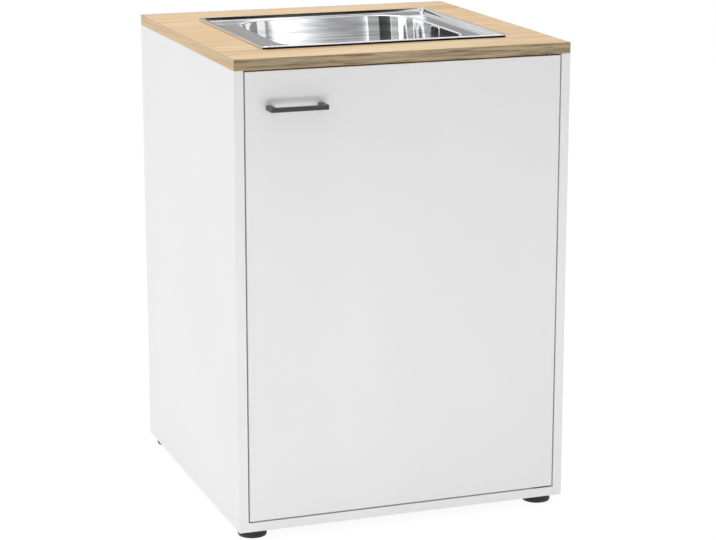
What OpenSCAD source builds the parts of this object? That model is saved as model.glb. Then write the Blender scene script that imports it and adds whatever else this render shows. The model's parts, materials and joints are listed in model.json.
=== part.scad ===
// Sink base cabinet: frameless carcass, flush worktop, inset sink, waste and trap, inset door on
// pivot hinges, levelling feet. Millimetres. Origin at the floor, in the middle of the bounding box.

/* [Cabinet] */
// Overall width
width = 600; // [500:10:900]
// Depth of carcass and worktop
depth = 600; // [560:10:700]
// Height from the floor to the top of the worktop
height = 830; // [780:5:900]
// Gap between the floor and the carcass
foot_gap = 16; // [14:1:30]
// Thickness of the side, bottom and rail boards
board = 16; // [15:1:19]
// Thickness of the back panel
back_t = 3; // [3:0.5:5]
// Distance from the rear edge to the back panel
back_inset = 45; // [30:1:60]
// Height of the rails
rail_h = 80; // [60:5:110]
// Setback of the front rail behind the carcass front
rail_setback = 30; // [28:1:50]
// Width of the service opening in the back panel
service_w = 300; // [200:10:400]
// Height of the service opening
service_h = 240; // [150:10:320]
// Height of the lower edge of the service opening above the floor
service_z = 400; // [300:10:450]

/* [Worktop] */
// Thickness of the worktop
worktop_t = 19; // [16:1:28]
// Thickness of the edge band
band_t = 1; // [0.8:0.1:2]

/* [Door] */
// Thickness of the door
door_t = 16; // [16:1:19]
// Gap between the door and the sides and bottom
door_gap = 2.6; // [2:0.1:3]
// Gap between the door and the worktop
door_top_gap = 2.5; // [2.5:0.1:4]
// Distance from the inner side face to the pivot axis
pivot_in = 20; // [19:0.5:24]
// Distance from the door front to the pivot axis
pivot_back = 6.5; // [6:0.1:7]
// Diameter of the pivot pins
pivot_d = 5; // [4:0.5:6]
// Length of the pivot pins inside the door
pivot_reach = 10; // [8:1:14]
// Running clearance around pins and feet threads
run_fit = 0.05; // [0.03:0.01:0.1]

/* [Handle] */
// Distance between the screw centres
handle_pitch = 90; // [64:1:160]
// How far the handle stands off the door
handle_out = 30; // [24:1:36]
// Height of the grip bar
handle_h = 7.5; // [6:0.5:12]
// Thickness of the grip bar
handle_t = 6; // [5:0.5:8]
// Width of each leg
leg_w = 10; // [8:0.5:12]
// Distance from the left door edge to the first screw
handle_in = 40.5; // [25:0.5:80]
// Distance from the top of the worktop to the handle
handle_drop = 82; // [60:1:120]

/* [Sink] */
// Outer width of the rim
rim_w = 444; // [400:2:460]
// Outer depth of the rim
rim_d = 396; // [360:2:410]
// Distance from the carcass front to the rim
rim_front = 92; // [85:1:100]
// Width of the flat rim
rim_flat = 7; // [6:0.5:10]
// Drop from the rim to the sunk deck
deck_drop = 5; // [4:0.5:8]
// Width of the bowl mouth
bowl_w = 336; // [300:2:360]
// Depth of the bowl mouth, front to back
bowl_d = 346; // [300:2:350]
// Depth of the bowl below the deck
bowl_h = 155; // [120:5:180]
// Corner radius of the bowl, seen from above
bowl_r = 72; // [50:1:90]
// Radius between the bowl walls and its floor
floor_r = 28; // [15:1:40]
// Sheet thickness
sheet = 0.9; // [0.7:0.1:1.5]
// Thickness of the foam seal under the rim
seal_t = 1.9; // [1:0.1:3]
// Width of the overflow slots field
overflow_w = 36; // [30:1:46]
// Height of the overflow slots
overflow_h = 18; // [12:1:22]
// Sideways offset of the overflow from the middle of the bowl
overflow_off = 6; // [0:1:40]

/* [Waste and trap] */
// Diameter of the hole in the bowl floor
waste_d = 88; // [86:1:92]
// Diameter of the waste flange
flange_d = 112; // [108:1:118]
// Outer diameter of the waste pipes
pipe_d = 40; // [38:1:44]
// Wall of the waste pipes
pipe_wall = 2; // [1.8:0.1:3]
// Outer diameter of the trap cup
cup_d = 74; // [68:1:84]
// Height of the trap cup
cup_h = 95; // [80:5:120]
// Diameter of the overflow hose
hose_d = 22; // [18:1:26]
// Length of the free spigot at the end of the outlet pipe
outlet_spigot = 50; // [30:1:80]
// Distance that the outlet pipe ends before the rear edge of the carcass
outlet_short = 10; // [5:1:30]

/* [Feet] */
// Diameter of the foot disc
foot_d = 50; // [40:1:56]
// Distance from the outer side face to the foot centre
foot_in = 33; // [30:1:40]
// Distance from the carcass front to the front foot centres
foot_front_in = 35; // [32:1:60]
// Distance from the rear face to the rear foot centres
foot_rear_in = 28; // [26:1:30]
// Diameter of the foot thread
thread_d = 10; // [8:1:12]
// Travel of each foot
foot_travel = 8; // [5:1:8]

/* [Fasteners] */
// Diameter of the wood dowels
dowel_d = 8; // [6:1:8]
// Diameter of the cam locks
cam_d = 15; // [12:1:15]
// Depth of the cam locks
cam_t = 12; // [11:0.5:12]
// Distance from a board end to the cam centre
cam_in = 34; // [30:1:40]

/* [Hidden] */

$fn = 48;
// gap beside parts that move or lie loose, clearance of parts pushed together, overlap of joined solids
slip = 0.3;
fit = 0.1;
eps = 0.01;

// planes of the carcass
front = (handle_out - depth) / 2;
rear = front + depth;
top = height;
under = height - worktop_t;
floor_z = foot_gap + board;
inner = width / 2 - board;
sides = [-1, 1];

// door
door_w = 2 * (inner - door_gap);
door_z = floor_z + door_gap;
door_top = under - door_top_gap;
door_h = door_top - door_z;
door_left = -inner + door_gap;
pivot_x = inner - pivot_in;
pivot_y = front + pivot_back;
bush_wall = 1.5;
bush_d = pivot_d + 2 * bush_wall;
bush_flange_d = 12;
bush_floor = 2;
upper_flange = 0.8;

// handle
handle_x = door_left + handle_in + handle_pitch / 2;
handle_z = top - handle_drop;
handle_len = handle_pitch + leg_w;
handle_r = 2.5;
handle_screw_d = 3.4;
handle_screw_in = 12;
handle_hole_in = 15;
handle_hole_d = 4.5;
handle_head_d = 8;
handle_head_h = 2.2;

// pivot plates
plate_t = 2;
plate_l = 2 * (pivot_in - 1);
plate_w = 10;
plate_r = 3;
plate_screw = 12.5;
plate_screw_d = 2.5;
plate_screw_l = 12;
plate_head_d = 5.4;
plate_head_h = 0.9;
plate_hole_d = 3.2;

// back panel and rails
groove = 6;
service_r = 20;
back_y = rear - back_inset;
rear_rail_y = back_y - board;
front_rail_y = front + rail_setback;
rail_z = under - rail_h;

// sink
rim_y = front + rim_front + rim_d / 2;
rim_rise = seal_t + sheet;
rim_top = top + rim_rise;
deck_w = rim_w - 2 * rim_flat;
deck_d = rim_d - 2 * rim_flat;
rim_r = 9;
deck_r = rim_r - 4;
deck_z = rim_top - deck_drop;
bowl_z = deck_z - bowl_h;
cut_play = 2;
cut_w = deck_w + 2 * (sheet + cut_play);
cut_d = deck_d + 2 * (sheet + cut_play);
cut_r = deck_r + 3;
wall_x = bowl_w / 2;

// overflow
overflow_below = 14;
overflow_count = 5;
overflow_slot = 3.6;
overflow_margin = 3.5;
overflow_plate_t = 1.2;
overflow_y = rim_y + overflow_off;
overflow_z = deck_z - overflow_below;
elbow_wall = 2.5;
elbow_h = overflow_h + 6;
elbow_w = overflow_w + 6;
elbow_t = hose_d + 4;
elbow_x = wall_x + sheet;

// clamps of the sink, at shares of the deck's depth from its middle
clamp_shares = [-0.36, -0.11, 0.36];
clamp_w = 12;
clamp_t = 2;
clamp_hook = 10;
clamp_arm = 17;
clamp_lip = 5;
clamp_below = 9;
clamp_screw_x = 9;
clamp_screw_d = 4;
clamp_head_d = 8;
clamp_head_h = 3;
clamp_pad_d = 9;
clamp_pad_t = 1.9;
clamp_drop = deck_z - sheet - (under - clamp_below);

// waste
waste_y = rim_y;
neck_wall = 1.5;
neck_play = 3.5;
neck_r = waste_d / 2 - neck_play;
throat_r = neck_r - neck_wall;
flange_t = 1.6;
seat_drop = 16;
seat_w = 5;
gasket_t = 3;
gasket_d = flange_d - 6;
body_d = 2 * (neck_r + fit);
body_wall = 3;
body_h = 58;
body_bottom = bowl_z - body_h;
body_rim_t = 4;
tail_h = 34;
tail_bottom = body_bottom - tail_h;

// basket: holes and radius of each ring
lip_r = throat_r - 1;
basket_r = throat_r - seat_w - 1;
basket_h = 26;
basket_t = 1.2;
basket_foot = 6;
basket_hole_d = 3.6;
basket_rings = [[8, 10], [12, 19.5]];
stem_d = 7;
knob_d = 20;
knob_h = 6;

// overflow hose
hose_x = elbow_x + elbow_t / 2;
hose_top = overflow_z - elbow_h / 2 - slip;
hose_bend = 30;
hose_wall = 1.8;
hose_bore = hose_d - 2 * hose_wall;
hose_above = 16;
hose_z = body_bottom + hose_above;
hose_turn = atan2(overflow_y - waste_y, hose_x);
hose_run = norm([overflow_y - waste_y, hose_x]);
hose_start = body_d / 2 + 5;
spigot_d = hose_bore - 2 * fit;
spigot_wall = 2;
spigot_l = 20;

// pipes, nuts and trap
pipe_bore = pipe_d - 2 * pipe_wall;
pipe_hole = pipe_d + 2 * fit;
socket_out = pipe_d + 6;
socket_h = 15;
nut_h = 22;
nut_shoulder = 6;
nut_d = socket_out + 10;
nut_ribs = 12;
nut_rib_d = 5;
nut_gap = 34;
neck_top = tail_bottom - nut_gap;
arm_drop = 52;
arm_z = neck_top - arm_drop;
arm_out = 30;
arm_end = waste_y + cup_d / 2 + arm_out;
trap_d = cup_d - 6;
trap_wall = 3;
trap_skirt = 38;
trap_crown = socket_out / 2 + 1;
cup_wall = 2.5;
cup_foot = 7;
cup_ribs = 10;
collar_t = 3;
collar_h = 12;
trap_bottom = arm_z - trap_skirt - cup_h;
dip_above = 30;
dip_bottom = trap_bottom + dip_above;
outlet_end = rear - outlet_short;
bead_d = pipe_d + 4;
bead_w = 3;

// feet
foot_x = width / 2 - foot_in;
foot_front_y = front + foot_front_in;
foot_rear_y = rear - foot_rear_in;
foot_lip = 5;
foot_grips = 16;
foot_grip_d = 4;
socket_d = thread_d + 5;
// the stem stays in half of the board when the foot is all the way out
stem_top = foot_gap + foot_travel + board / 2 - 0.5;
driver_l = 7;
driver_w = 1.2;
driver_h = 3;

// cams, bolts and dowels
cam_front = 90;
cam_rear = 110;
cam_mouth = 5.8;
cam_ys = [front + cam_front, rear - cam_rear];
bolt_d = 7;
bolt_collar = 8;
bolt_root_d = 4.8;
bolt_root = 10;
bolt_shank_d = 4;
bolt_head_d = 5.2;
bolt_head = 3;
dowel_front = 130;
dowel_rear = 150;
dowel_len = 30;
dowel_in_side = 11;
dowel_slack = 0.5;
dowel_ys = [front + dowel_front, rear - dowel_rear];
// places of the joining hardware on one side: two in the bottom panel, then front rail and rear rail
cam_spots = concat(
    [for (y = cam_ys) [y, foot_gap + board / 2]],
    [[front_rail_y + board / 2, under - rail_h / 2], [rear_rail_y + board / 2, under - rail_h / 2]]);
dowel_spots = concat(
    [for (y = dowel_ys) [y, foot_gap + board / 2]],
    [[front_rail_y + board / 2, rail_z + board], [rear_rail_y + board / 2, rail_z + board]]);

// angle brackets that hold the worktop to the sides
bracket_l = 28;
bracket_w = 16;
bracket_t = 2;
bracket_gusset = 12;
bracket_hole = 0.62 * bracket_l;
bracket_hole_d = 4;
bracket_front = 75;
bracket_rear = 95;
bracket_screw_d = 2.5;
bracket_screw_l = 12;
bracket_head_d = 6.5;
bracket_head_h = 2;
bracket_spots = [for (x = sides, y = [front + bracket_front, rear - bracket_rear]) [x * inner, y]];

// magnetic catches and their strike plates
catch_low = 110;
catch_under_rail = 60;
catch_zs = [catch_low, rail_z - catch_under_rail];
catch_w = 14;
catch_h = 45;
catch_deep = 15;
catch_wall = 2;
catch_screw_z = 15;
catch_screw_d = 3.2;
catch_screw_l = catch_w + 10;
catch_head_d = 6;
catch_head_h = 1.6;
magnet_h = 20;
magnet_deep = 8;
strike_t = 1;
strike_w = 9;
strike_h = 36;
strike_gap = 0.5;
strike_x = door_left + band_t + strike_gap + strike_w / 2;
strike_hole = 0.33 * strike_h;
strike_screw_d = 2.4;
strike_screw_l = 9;
catch_face = front + door_t + strike_t + slip;
catch_y = catch_face + catch_deep / 2;

// Rounded rectangle with true arcs, centred
module rrect(w, d, r) {
    square([w - 2 * r, d], center = true);
    square([w, d - 2 * r], center = true);
    for (x = sides, y = sides) translate([x * (w / 2 - r), y * (d / 2 - r)]) circle(r);
}

// Box from its lowest corner
module box(x, y, z, w, d, h) {
    translate([x, y, z]) cube([w, d, h]);
}

// Rod along +X, +Y or +Z from a point
module rod_x(d, l, x, y, z) { translate([x, y, z]) rotate([0, 90, 0]) cylinder(d = d, h = l); }
module rod_y(d, l, x, y, z) { translate([x, y, z]) rotate([-90, 0, 0]) cylinder(d = d, h = l); }
module rod_z(d, l, x, y, z) { translate([x, y, z]) cylinder(d = d, h = l); }

// Countersunk or pan-headed screw, its head at z = 0 and its shank towards -Z
module screw(d, l, head_d, head_h) {
    difference() {
        union() {
            translate([0, 0, -l]) cylinder(d = d, h = l + eps);
            cylinder(d1 = head_d, d2 = head_d * 0.7, h = head_h);
        }
        for (a = [0, 90]) rotate([0, 0, a]) translate([-0.3 * head_d, -0.06 * head_d, 0.4 * head_h])
            cube([0.6 * head_d, 0.12 * head_d, head_h]);
    }
}

// Quarter-round section of the foot of a bowl: full radius r, fillet f
module bowl_section(r, f, h) {
    translate([0, f]) square([r, h - f]);
    square([r - f, f + eps]);
    intersection() {
        translate([r - f, f]) circle(f);
        translate([r - f, 0]) square([f, f + eps]);
    }
}

// Bowl-shaped solid, open side up: straight walls, round corners and a rounded foot
module bowl_solid(w, d, r, f, h) {
    translate([0, 0, f]) linear_extrude(h - f) rrect(w, d, r);
    linear_extrude(f + eps) rrect(w - 2 * f, d - 2 * f, r - f);
    for (x = sides, y = sides) translate([x * (w / 2 - r), y * (d / 2 - r), 0])
        rotate_extrude() bowl_section(r, f, f + 1);
    for (s = sides) {
        translate([0, s * (d / 2 - f), f]) rotate([0, 90, 0])
            cylinder(r = f, h = w - 2 * r, center = true);
        translate([s * (w / 2 - f), 0, f]) rotate([90, 0, 0])
            cylinder(r = f, h = d - 2 * r, center = true);
    }
}

module side_panel(s) {
    color("white") difference() {
        box(s > 0 ? inner : -width / 2, front, foot_gap, board, depth, under - foot_gap);
        // groove of the back panel
        box(s > 0 ? inner - 1 : -inner - groove, back_y - fit, foot_gap - 1, groove + 1, back_t + 2 * fit,
            under - foot_gap + 2);
        for (p = cam_spots) side_hole(s, bolt_root_d + 2 * fit, bolt_root + 1, p[0], p[1]);
        for (p = dowel_spots) side_hole(s, dowel_d, dowel_in_side, p[0], p[1]);
        for (y = [front + bracket_front, rear - bracket_rear])
            side_hole(s, bracket_screw_d, bracket_screw_l, y, under - bracket_hole);
        if (s < 0) for (z = catch_zs, k = sides)
            side_hole(s, catch_screw_d, catch_screw_l - catch_w + 1, catch_y, z + k * catch_screw_z);
    }
}
// Blind hole from the inner face of the side s
module side_hole(s, d, deep, y, z) {
    rod_x(d, deep, s > 0 ? inner - eps : -inner - deep + eps, y, z);
}
module left_side_panel() { side_panel(-1); }
module right_side_panel() { side_panel(1); }

// Cuts for the joining hardware at the end s of a cross board
module cam_cuts(s, spots, cam_axis) {
    for (p = spots) {
        rod_x(bolt_d + 4 * fit, cam_in + 1, s > 0 ? inner - cam_in : -inner - 1, p[0], p[1]);
        if (cam_axis == "z") rod_z(cam_d, cam_t + 1, s * (inner - cam_in), p[0], foot_gap - 1);
        else rod_y(cam_d, cam_t + 1, s * (inner - cam_in), p[0] + board / 2 - cam_t, p[1]);
    }
}
module dowel_cuts(s, spots) {
    for (p = spots) rod_x(dowel_d, dowel_len - dowel_in_side + 1,
        s > 0 ? inner - dowel_len + dowel_in_side : -inner - 1, p[0], p[1]);
}

module bottom_panel() {
    color("white") difference() {
        box(-inner, front, foot_gap, 2 * inner, depth, board);
        box(-inner - 1, back_y - fit, floor_z - groove, 2 * inner + 2, back_t + 2 * fit, groove + 1);
        for (s = sides) {
            cam_cuts(s, [cam_spots[0], cam_spots[1]], "z");
            dowel_cuts(s, [dowel_spots[0], dowel_spots[1]]);
            for (y = [foot_front_y, foot_rear_y]) rod_z(socket_d, board + 2, s * foot_x, y, foot_gap - 1);
        }
        // recess and screw holes of the lower pivot plate
        translate([0, 0, floor_z - plate_t]) linear_extrude(plate_t + 1) pivot_outline(fit);
        pivot_screw_holes(floor_z - plate_screw_l - 1);
    }
}

module back_panel() {
    color("whitesmoke") difference() {
        box(-inner - groove + slip, back_y, floor_z - groove + slip, 2 * (inner + groove - slip), back_t,
            under - floor_z + groove - 2 * slip);
        translate([0, back_y - 1, service_z + service_h / 2]) rotate([-90, 0, 0])
            linear_extrude(back_t + 2) rrect(service_w, service_h, service_r);
    }
}

module rail(y, spot) {
    color("white") difference() {
        box(-inner, y, rail_z, 2 * inner, board, rail_h);
        for (s = sides) {
            cam_cuts(s, [cam_spots[spot]], "y");
            dowel_cuts(s, [dowel_spots[spot]]);
        }
    }
}
module front_rail() { rail(front_rail_y, 2); }
module rear_rail() { rail(rear_rail_y, 3); }

// The cams sit in pockets open on the face that isn't seen: downwards in the bottom, to the rear in rails
module cam_locks() {
    color("silver") for (s = sides) {
        for (p = [cam_spots[0], cam_spots[1]]) translate([s * (inner - cam_in), p[0], foot_gap + fit])
            cam_lock();
        for (p = [cam_spots[2], cam_spots[3]]) translate([s * (inner - cam_in), p[0] + board / 2 - fit, p[1]])
            rotate([90, 0, 0]) cam_lock();
    }
}
// Cam lock: disc with a cross slot and the mouth that grips the bolt head, its axis on Z
module cam_lock() {
    difference() {
        cylinder(d = cam_d - 2 * fit, h = cam_t - fit - slip);
        translate([-cam_d, -cam_mouth / 2, (board - cam_mouth) / 2]) cube([2 * cam_d, cam_mouth, cam_t]);
        driver_cross(driver_h / 2);
    }
}

// Cam bolt: threaded root in the side, slim shank and round head inside the cam
module cam_bolts() {
    color("silver")
    for (s = sides, p = cam_spots) translate([s * inner, p[0], p[1]]) rotate([0, -s * 90, 0]) {
        translate([0, 0, -bolt_root]) cylinder(d = bolt_root_d, h = bolt_root + 1);
        cylinder(d = bolt_d, h = bolt_collar);
        cylinder(d = bolt_shank_d, h = cam_in - 1);
        translate([0, 0, cam_in - bolt_head]) cylinder(d = bolt_head_d, h = bolt_head);
    }
}

module wood_dowels() {
    color("burlywood") for (s = sides, p = dowel_spots) translate([s * inner, p[0], p[1]])
        rotate([0, -s * 90, 0]) translate([0, 0, dowel_slack - dowel_in_side])
            cylinder(d = dowel_d, h = dowel_len - 2 * dowel_slack);
}

module worktop() {
    color("burlywood") difference() {
        box(-width / 2 + band_t, front + band_t, under, width - 2 * band_t, depth - 2 * band_t, worktop_t);
        translate([0, rim_y, under - 1]) linear_extrude(worktop_t + 2) rrect(cut_w, cut_d, cut_r);
        translate([0, 0, under - 1]) linear_extrude(plate_t + 1) pivot_outline(fit);
        pivot_screw_holes(under - 1);
        for (p = bracket_spots)
            rod_z(bracket_screw_d, bracket_screw_l, p[0] - sign(p[0]) * bracket_hole, p[1], under - 1);
    }
}

module worktop_edge_band() {
    color("tan") difference() {
        box(-width / 2, front, under, width, depth, worktop_t);
        box(-width / 2 + band_t, front + band_t, under - 1, width - 2 * band_t, depth - 2 * band_t,
            worktop_t + 2);
    }
}

// Angle bracket with a gusset, its corner under the worktop at the inner side face
module bracket() {
    difference() {
        union() {
            translate([0, -bracket_w / 2, -bracket_l]) cube([bracket_t, bracket_w, bracket_l]);
            translate([0, -bracket_w / 2, -bracket_t]) cube([bracket_l, bracket_w, bracket_t]);
            translate([bracket_t - eps, bracket_t / 2, eps - bracket_t]) rotate([90, 0, 0])
                linear_extrude(bracket_t) polygon([[0, 0], [bracket_gusset, 0], [0, -bracket_gusset]]);
        }
        rod_z(bracket_hole_d, 3 * bracket_t, bracket_hole, 0, -2 * bracket_t);
        rod_x(bracket_hole_d, 3 * bracket_t, -bracket_t, 0, -bracket_hole);
    }
}
module worktop_brackets() {
    color("silver") for (p = bracket_spots) translate([p[0], p[1], under])
        mirror([p[0] > 0 ? 1 : 0, 0, 0]) bracket();
}
module bracket_screw() {
    screw(bracket_screw_d, bracket_screw_l, bracket_head_d, bracket_head_h);
}
module bracket_screws() {
    color("gray") for (p = bracket_spots) translate([p[0], p[1], under]) mirror([p[0] > 0 ? 1 : 0, 0, 0]) {
        translate([bracket_hole, 0, -bracket_t]) rotate([180, 0, 0]) bracket_screw();
        translate([bracket_t, 0, -bracket_hole]) rotate([0, 90, 0]) bracket_screw();
    }
}

// Frame-shaped extrusion around the sink's middle: outer size, inner size, corner radii
module sink_ring(w, d, r, iw, id, ir, z, h) {
    translate([0, rim_y, z]) difference() {
        linear_extrude(h) rrect(w, d, r);
        translate([0, 0, -1]) linear_extrude(h + 2) rrect(iw, id, ir);
    }
}

module sink_seal() {
    color("dimgray") sink_ring(rim_w - 3, rim_d - 3, rim_r - 1.5, cut_w, cut_d, cut_r, top, seal_t);
}

// Pressed sink: turned-down lip, flat rim, sunk deck and bowl, all of one sheet
module sink() {
    color("silver") difference() {
        union() {
            // rim with its turned-down lip
            translate([0, rim_y, top + fit]) linear_extrude(rim_rise - fit) rrect(rim_w, rim_d, rim_r);
            // walls of the sunk deck
            translate([0, rim_y, deck_z - sheet]) linear_extrude(deck_drop)
                rrect(deck_w + 2 * sheet, deck_d + 2 * sheet, deck_r + sheet);
            // outside of the bowl
            translate([0, rim_y, bowl_z - sheet])
                bowl_solid(bowl_w + 2 * sheet, bowl_d + 2 * sheet, bowl_r + sheet, floor_r, bowl_h);
        }
        // underside of the rim, inside the lip
        translate([0, rim_y, top - 1]) difference() {
            linear_extrude(1 + seal_t) rrect(rim_w - 2 * sheet, rim_d - 2 * sheet, rim_r - sheet);
            translate([0, 0, -1]) linear_extrude(4 + seal_t)
                rrect(deck_w + 2 * sheet, deck_d + 2 * sheet, deck_r + sheet);
        }
        // inside of the deck recess
        translate([0, rim_y, deck_z]) linear_extrude(deck_drop + 1) rrect(deck_w, deck_d, deck_r);
        // inside of the bowl
        translate([0, rim_y, bowl_z]) bowl_solid(bowl_w, bowl_d, bowl_r, floor_r - sheet, bowl_h + 1);
        // waste hole
        rod_z(waste_d, 10, 0, waste_y, bowl_z - 5);
        // overflow slots
        overflow_slots(wall_x - 2, sheet + 4);
    }
}

module overflow_slots(x, l) {
    step = (overflow_w - overflow_slot) / (overflow_count - 1);
    for (i = [0 : overflow_count - 1])
        translate([x, overflow_y + (overflow_slot - overflow_w) / 2 + i * step, overflow_z])
            rotate([0, 90, 0]) linear_extrude(l) square([overflow_h, overflow_slot], center = true);
}

// Clamps that pull the rim down: a hook under the deck and an arm with a screw under the worktop
module clamp() {
    difference() {
        translate([0, clamp_w / 2, 0]) rotate([90, 0, 0]) linear_extrude(clamp_w)
            polygon([[-clamp_hook, 0], [-clamp_t, 0], [-clamp_t, clamp_t - clamp_drop],
                [clamp_arm - clamp_t, clamp_t - clamp_drop],
                [clamp_arm - clamp_t, clamp_t + clamp_lip - clamp_drop],
                [clamp_arm, clamp_t + clamp_lip - clamp_drop], [clamp_arm, -clamp_drop],
                [-2 * clamp_t, -clamp_drop], [-2 * clamp_t, -clamp_t], [-clamp_hook, -clamp_t]]);
        rod_z(clamp_screw_d + 4 * fit, 2 * clamp_below, clamp_screw_x, 0, -clamp_drop - clamp_below);
    }
}
// Puts a child at each clamp, +X away from the bowl
module at_clamps() {
    for (s = sides, k = clamp_shares) translate([s * deck_w / 2, rim_y + k * deck_d, deck_z - sheet])
        rotate([0, 0, s > 0 ? 0 : 180]) children();
}
module sink_clamps() {
    color("silver") at_clamps() clamp();
}
module clamp_screws() {
    color("gray") at_clamps() translate([clamp_screw_x, 0, -clamp_drop]) {
        cylinder(d = clamp_screw_d, h = clamp_below - clamp_pad_t);
        translate([0, 0, -clamp_head_h]) cylinder(d = clamp_head_d, h = clamp_head_h);
        translate([0, 0, clamp_below - clamp_pad_t - fit]) cylinder(d = clamp_pad_d, h = clamp_pad_t);
    }
}

// Strainer waste: flange in the bowl, gasket, cup below the bowl, basket that lifts out
module waste_flange() {
    color("silver") translate([0, waste_y, bowl_z]) rotate_extrude($fn = 72)
        polygon([[throat_r - seat_w, -seat_drop - neck_wall], [neck_r, -seat_drop - neck_wall], [neck_r, 0],
            [flange_d / 2, 0], [flange_d / 2, flange_t / 2], [flange_d / 2 - flange_t, flange_t],
            [throat_r + flange_t, flange_t], [throat_r, 0],
            [throat_r, -seat_drop], [throat_r - seat_w, -seat_drop]]);
}
module waste_gasket() {
    color("dimgray") translate([0, waste_y, bowl_z - sheet - gasket_t]) difference() {
        cylinder(d = gasket_d, h = gasket_t);
        translate([0, 0, -1]) cylinder(d = body_d, h = gasket_t + 2);
    }
}
module waste_cup() {
    top_z = bowl_z - sheet - gasket_t;
    color("gainsboro") translate([0, waste_y, 0]) difference() {
        union() {
            rod_z(gasket_d, body_rim_t, 0, 0, top_z - body_rim_t);
            rod_z(body_d + 2 * body_wall, top_z - body_bottom - 1, 0, 0, body_bottom);
            rod_z(socket_out, tail_h + 1, 0, 0, tail_bottom);
            // overflow spigot
            rotate([0, 0, hose_turn]) rod_x(spigot_d, hose_start + spigot_l, 0, 0, hose_z);
        }
        rod_z(body_d, body_h, 0, 0, body_bottom + body_wall);
        rod_z(pipe_hole, socket_h + 1, 0, 0, tail_bottom - 1);
        rod_z(pipe_bore, tail_h + 2 * body_wall, 0, 0, tail_bottom - 1);
        rotate([0, 0, hose_turn]) rod_x(spigot_d - 2 * spigot_wall, hose_start + 2 * spigot_l, 1, 0, hose_z);
    }
}
module waste_nut() {
    color("white") translate([0, waste_y, tail_bottom - nut_shoulder]) nut();
}

// Basket with a lip on the seat of the flange, rings of holes and a lifting knob
module basket_strainer() {
    lip_z = bowl_z - seat_drop + slip;
    wall_r = basket_r - basket_t;
    color("silver") translate([0, waste_y, lip_z - basket_h + basket_t]) difference() {
        union() {
            rotate_extrude($fn = 72) polygon([[0, 0], [basket_r - basket_foot - 1, 0],
                [basket_r - 1, basket_foot], [basket_r, basket_h - basket_t], [lip_r, basket_h - basket_t],
                [lip_r, basket_h], [wall_r, basket_h], [wall_r - 1, basket_foot + basket_t / 2],
                [wall_r - basket_foot - basket_t / 2, basket_t], [0, basket_t]]);
            cylinder(d = stem_d, h = basket_h);
            translate([0, 0, basket_h - knob_h / 3]) cylinder(d1 = stem_d, d2 = knob_d, h = knob_h);
        }
        for (ring = basket_rings, i = [1 : ring[0]]) rotate([0, 0, i * 360 / ring[0]])
            translate([ring[1], 0, -1]) cylinder(d = basket_hole_d, h = basket_t + 2);
    }
}

// Overflow: slotted plate in the bowl, elbow outside and hose to the waste cup
module overflow_plate() {
    color("silver") difference() {
        translate([wall_x - overflow_plate_t, overflow_y, overflow_z]) rotate([0, 90, 0])
            linear_extrude(overflow_plate_t)
                rrect(overflow_h + 2 * overflow_margin, overflow_w + 2 * overflow_margin, 5);
        overflow_slots(wall_x - 3, 5);
    }
}
module overflow_elbow() {
    color("dimgray") difference() {
        union() {
            translate([elbow_x, overflow_y, overflow_z]) rotate([0, 90, 0]) linear_extrude(elbow_t)
                rrect(elbow_h, elbow_w, 6);
            rod_z(spigot_d, spigot_l + elbow_h / 2, hose_x, overflow_y, hose_top - spigot_l);
        }
        translate([elbow_x - 1, overflow_y, overflow_z]) rotate([0, 90, 0])
            linear_extrude(elbow_t + 1 - elbow_wall)
                rrect(elbow_h - 2 * elbow_wall, elbow_w - 2 * elbow_wall, 4);
        rod_z(spigot_d - 2 * spigot_wall, spigot_l + elbow_h / 2, hose_x, overflow_y,
            hose_top - spigot_l - 1);
    }
}
// The hose falls, turns towards the waste and reaches the spigot of the cup
module hose_shape(d) {
    fall = hose_top - hose_z - hose_bend;
    translate([0, waste_y, hose_z]) rotate([0, 0, hose_turn]) {
        rod_z(d, fall, hose_run, 0, hose_bend);
        translate([hose_run - hose_bend, 0, hose_bend]) rotate([90, 0, 0]) rotate([0, 0, -90])
            rotate_extrude(angle = 90) translate([hose_bend, 0]) circle(d = d);
        rod_x(d, hose_run - hose_bend - hose_start, hose_start, 0, 0);
    }
}
module overflow_hose() {
    color("gray") difference() {
        hose_shape(hose_d);
        hose_shape(hose_bore);
    }
}

// Bottle trap: a dip pipe hangs from the waste into a cup, an arm leads to the rear
module trap_inlet_pipe() {
    long = tail_bottom + socket_h - 1 - dip_bottom;
    color("white") difference() {
        rod_z(pipe_d, long, 0, waste_y, dip_bottom);
        rod_z(pipe_bore, long + 2, 0, waste_y, dip_bottom - 1);
    }
}
// Union nut: ribbed cap whose shoulder holds the pipe and whose skirt goes over the socket
module nut() {
    difference() {
        union() {
            cylinder(d = nut_d, h = nut_h);
            for (i = [1 : nut_ribs]) rotate([0, 0, i * 360 / nut_ribs]) translate([nut_d / 2, 0, 0])
                cylinder(d = nut_rib_d, h = nut_h - 3);
        }
        translate([0, 0, -1]) cylinder(d = pipe_hole, h = nut_h + 2);
        translate([0, 0, nut_shoulder]) cylinder(d = socket_out + 2 * fit, h = nut_h);
    }
}
module trap_inlet_nut() {
    color("white") translate([0, waste_y, neck_top + nut_shoulder]) mirror([0, 0, 1]) nut();
}
module trap_body() {
    skirt_z = arm_z - trap_skirt;
    color("white") difference() {
        union() {
            rod_z(socket_out, neck_top - arm_z, 0, waste_y, arm_z);
            rod_z(trap_d, trap_skirt + trap_crown, 0, waste_y, skirt_z);
            rod_y(socket_out, arm_end - waste_y, 0, waste_y, arm_z);
        }
        rod_z(trap_d - 2 * trap_wall, trap_skirt + trap_crown - trap_wall, 0, waste_y, skirt_z - 1);
        rod_z(pipe_hole, neck_top - arm_z + 1, 0, waste_y, arm_z);
        rod_y(pipe_bore, arm_end - waste_y + 1, 0, waste_y, arm_z);
        rod_y(pipe_hole, socket_h, 0, arm_end - socket_h + 1, arm_z);
    }
}
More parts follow.
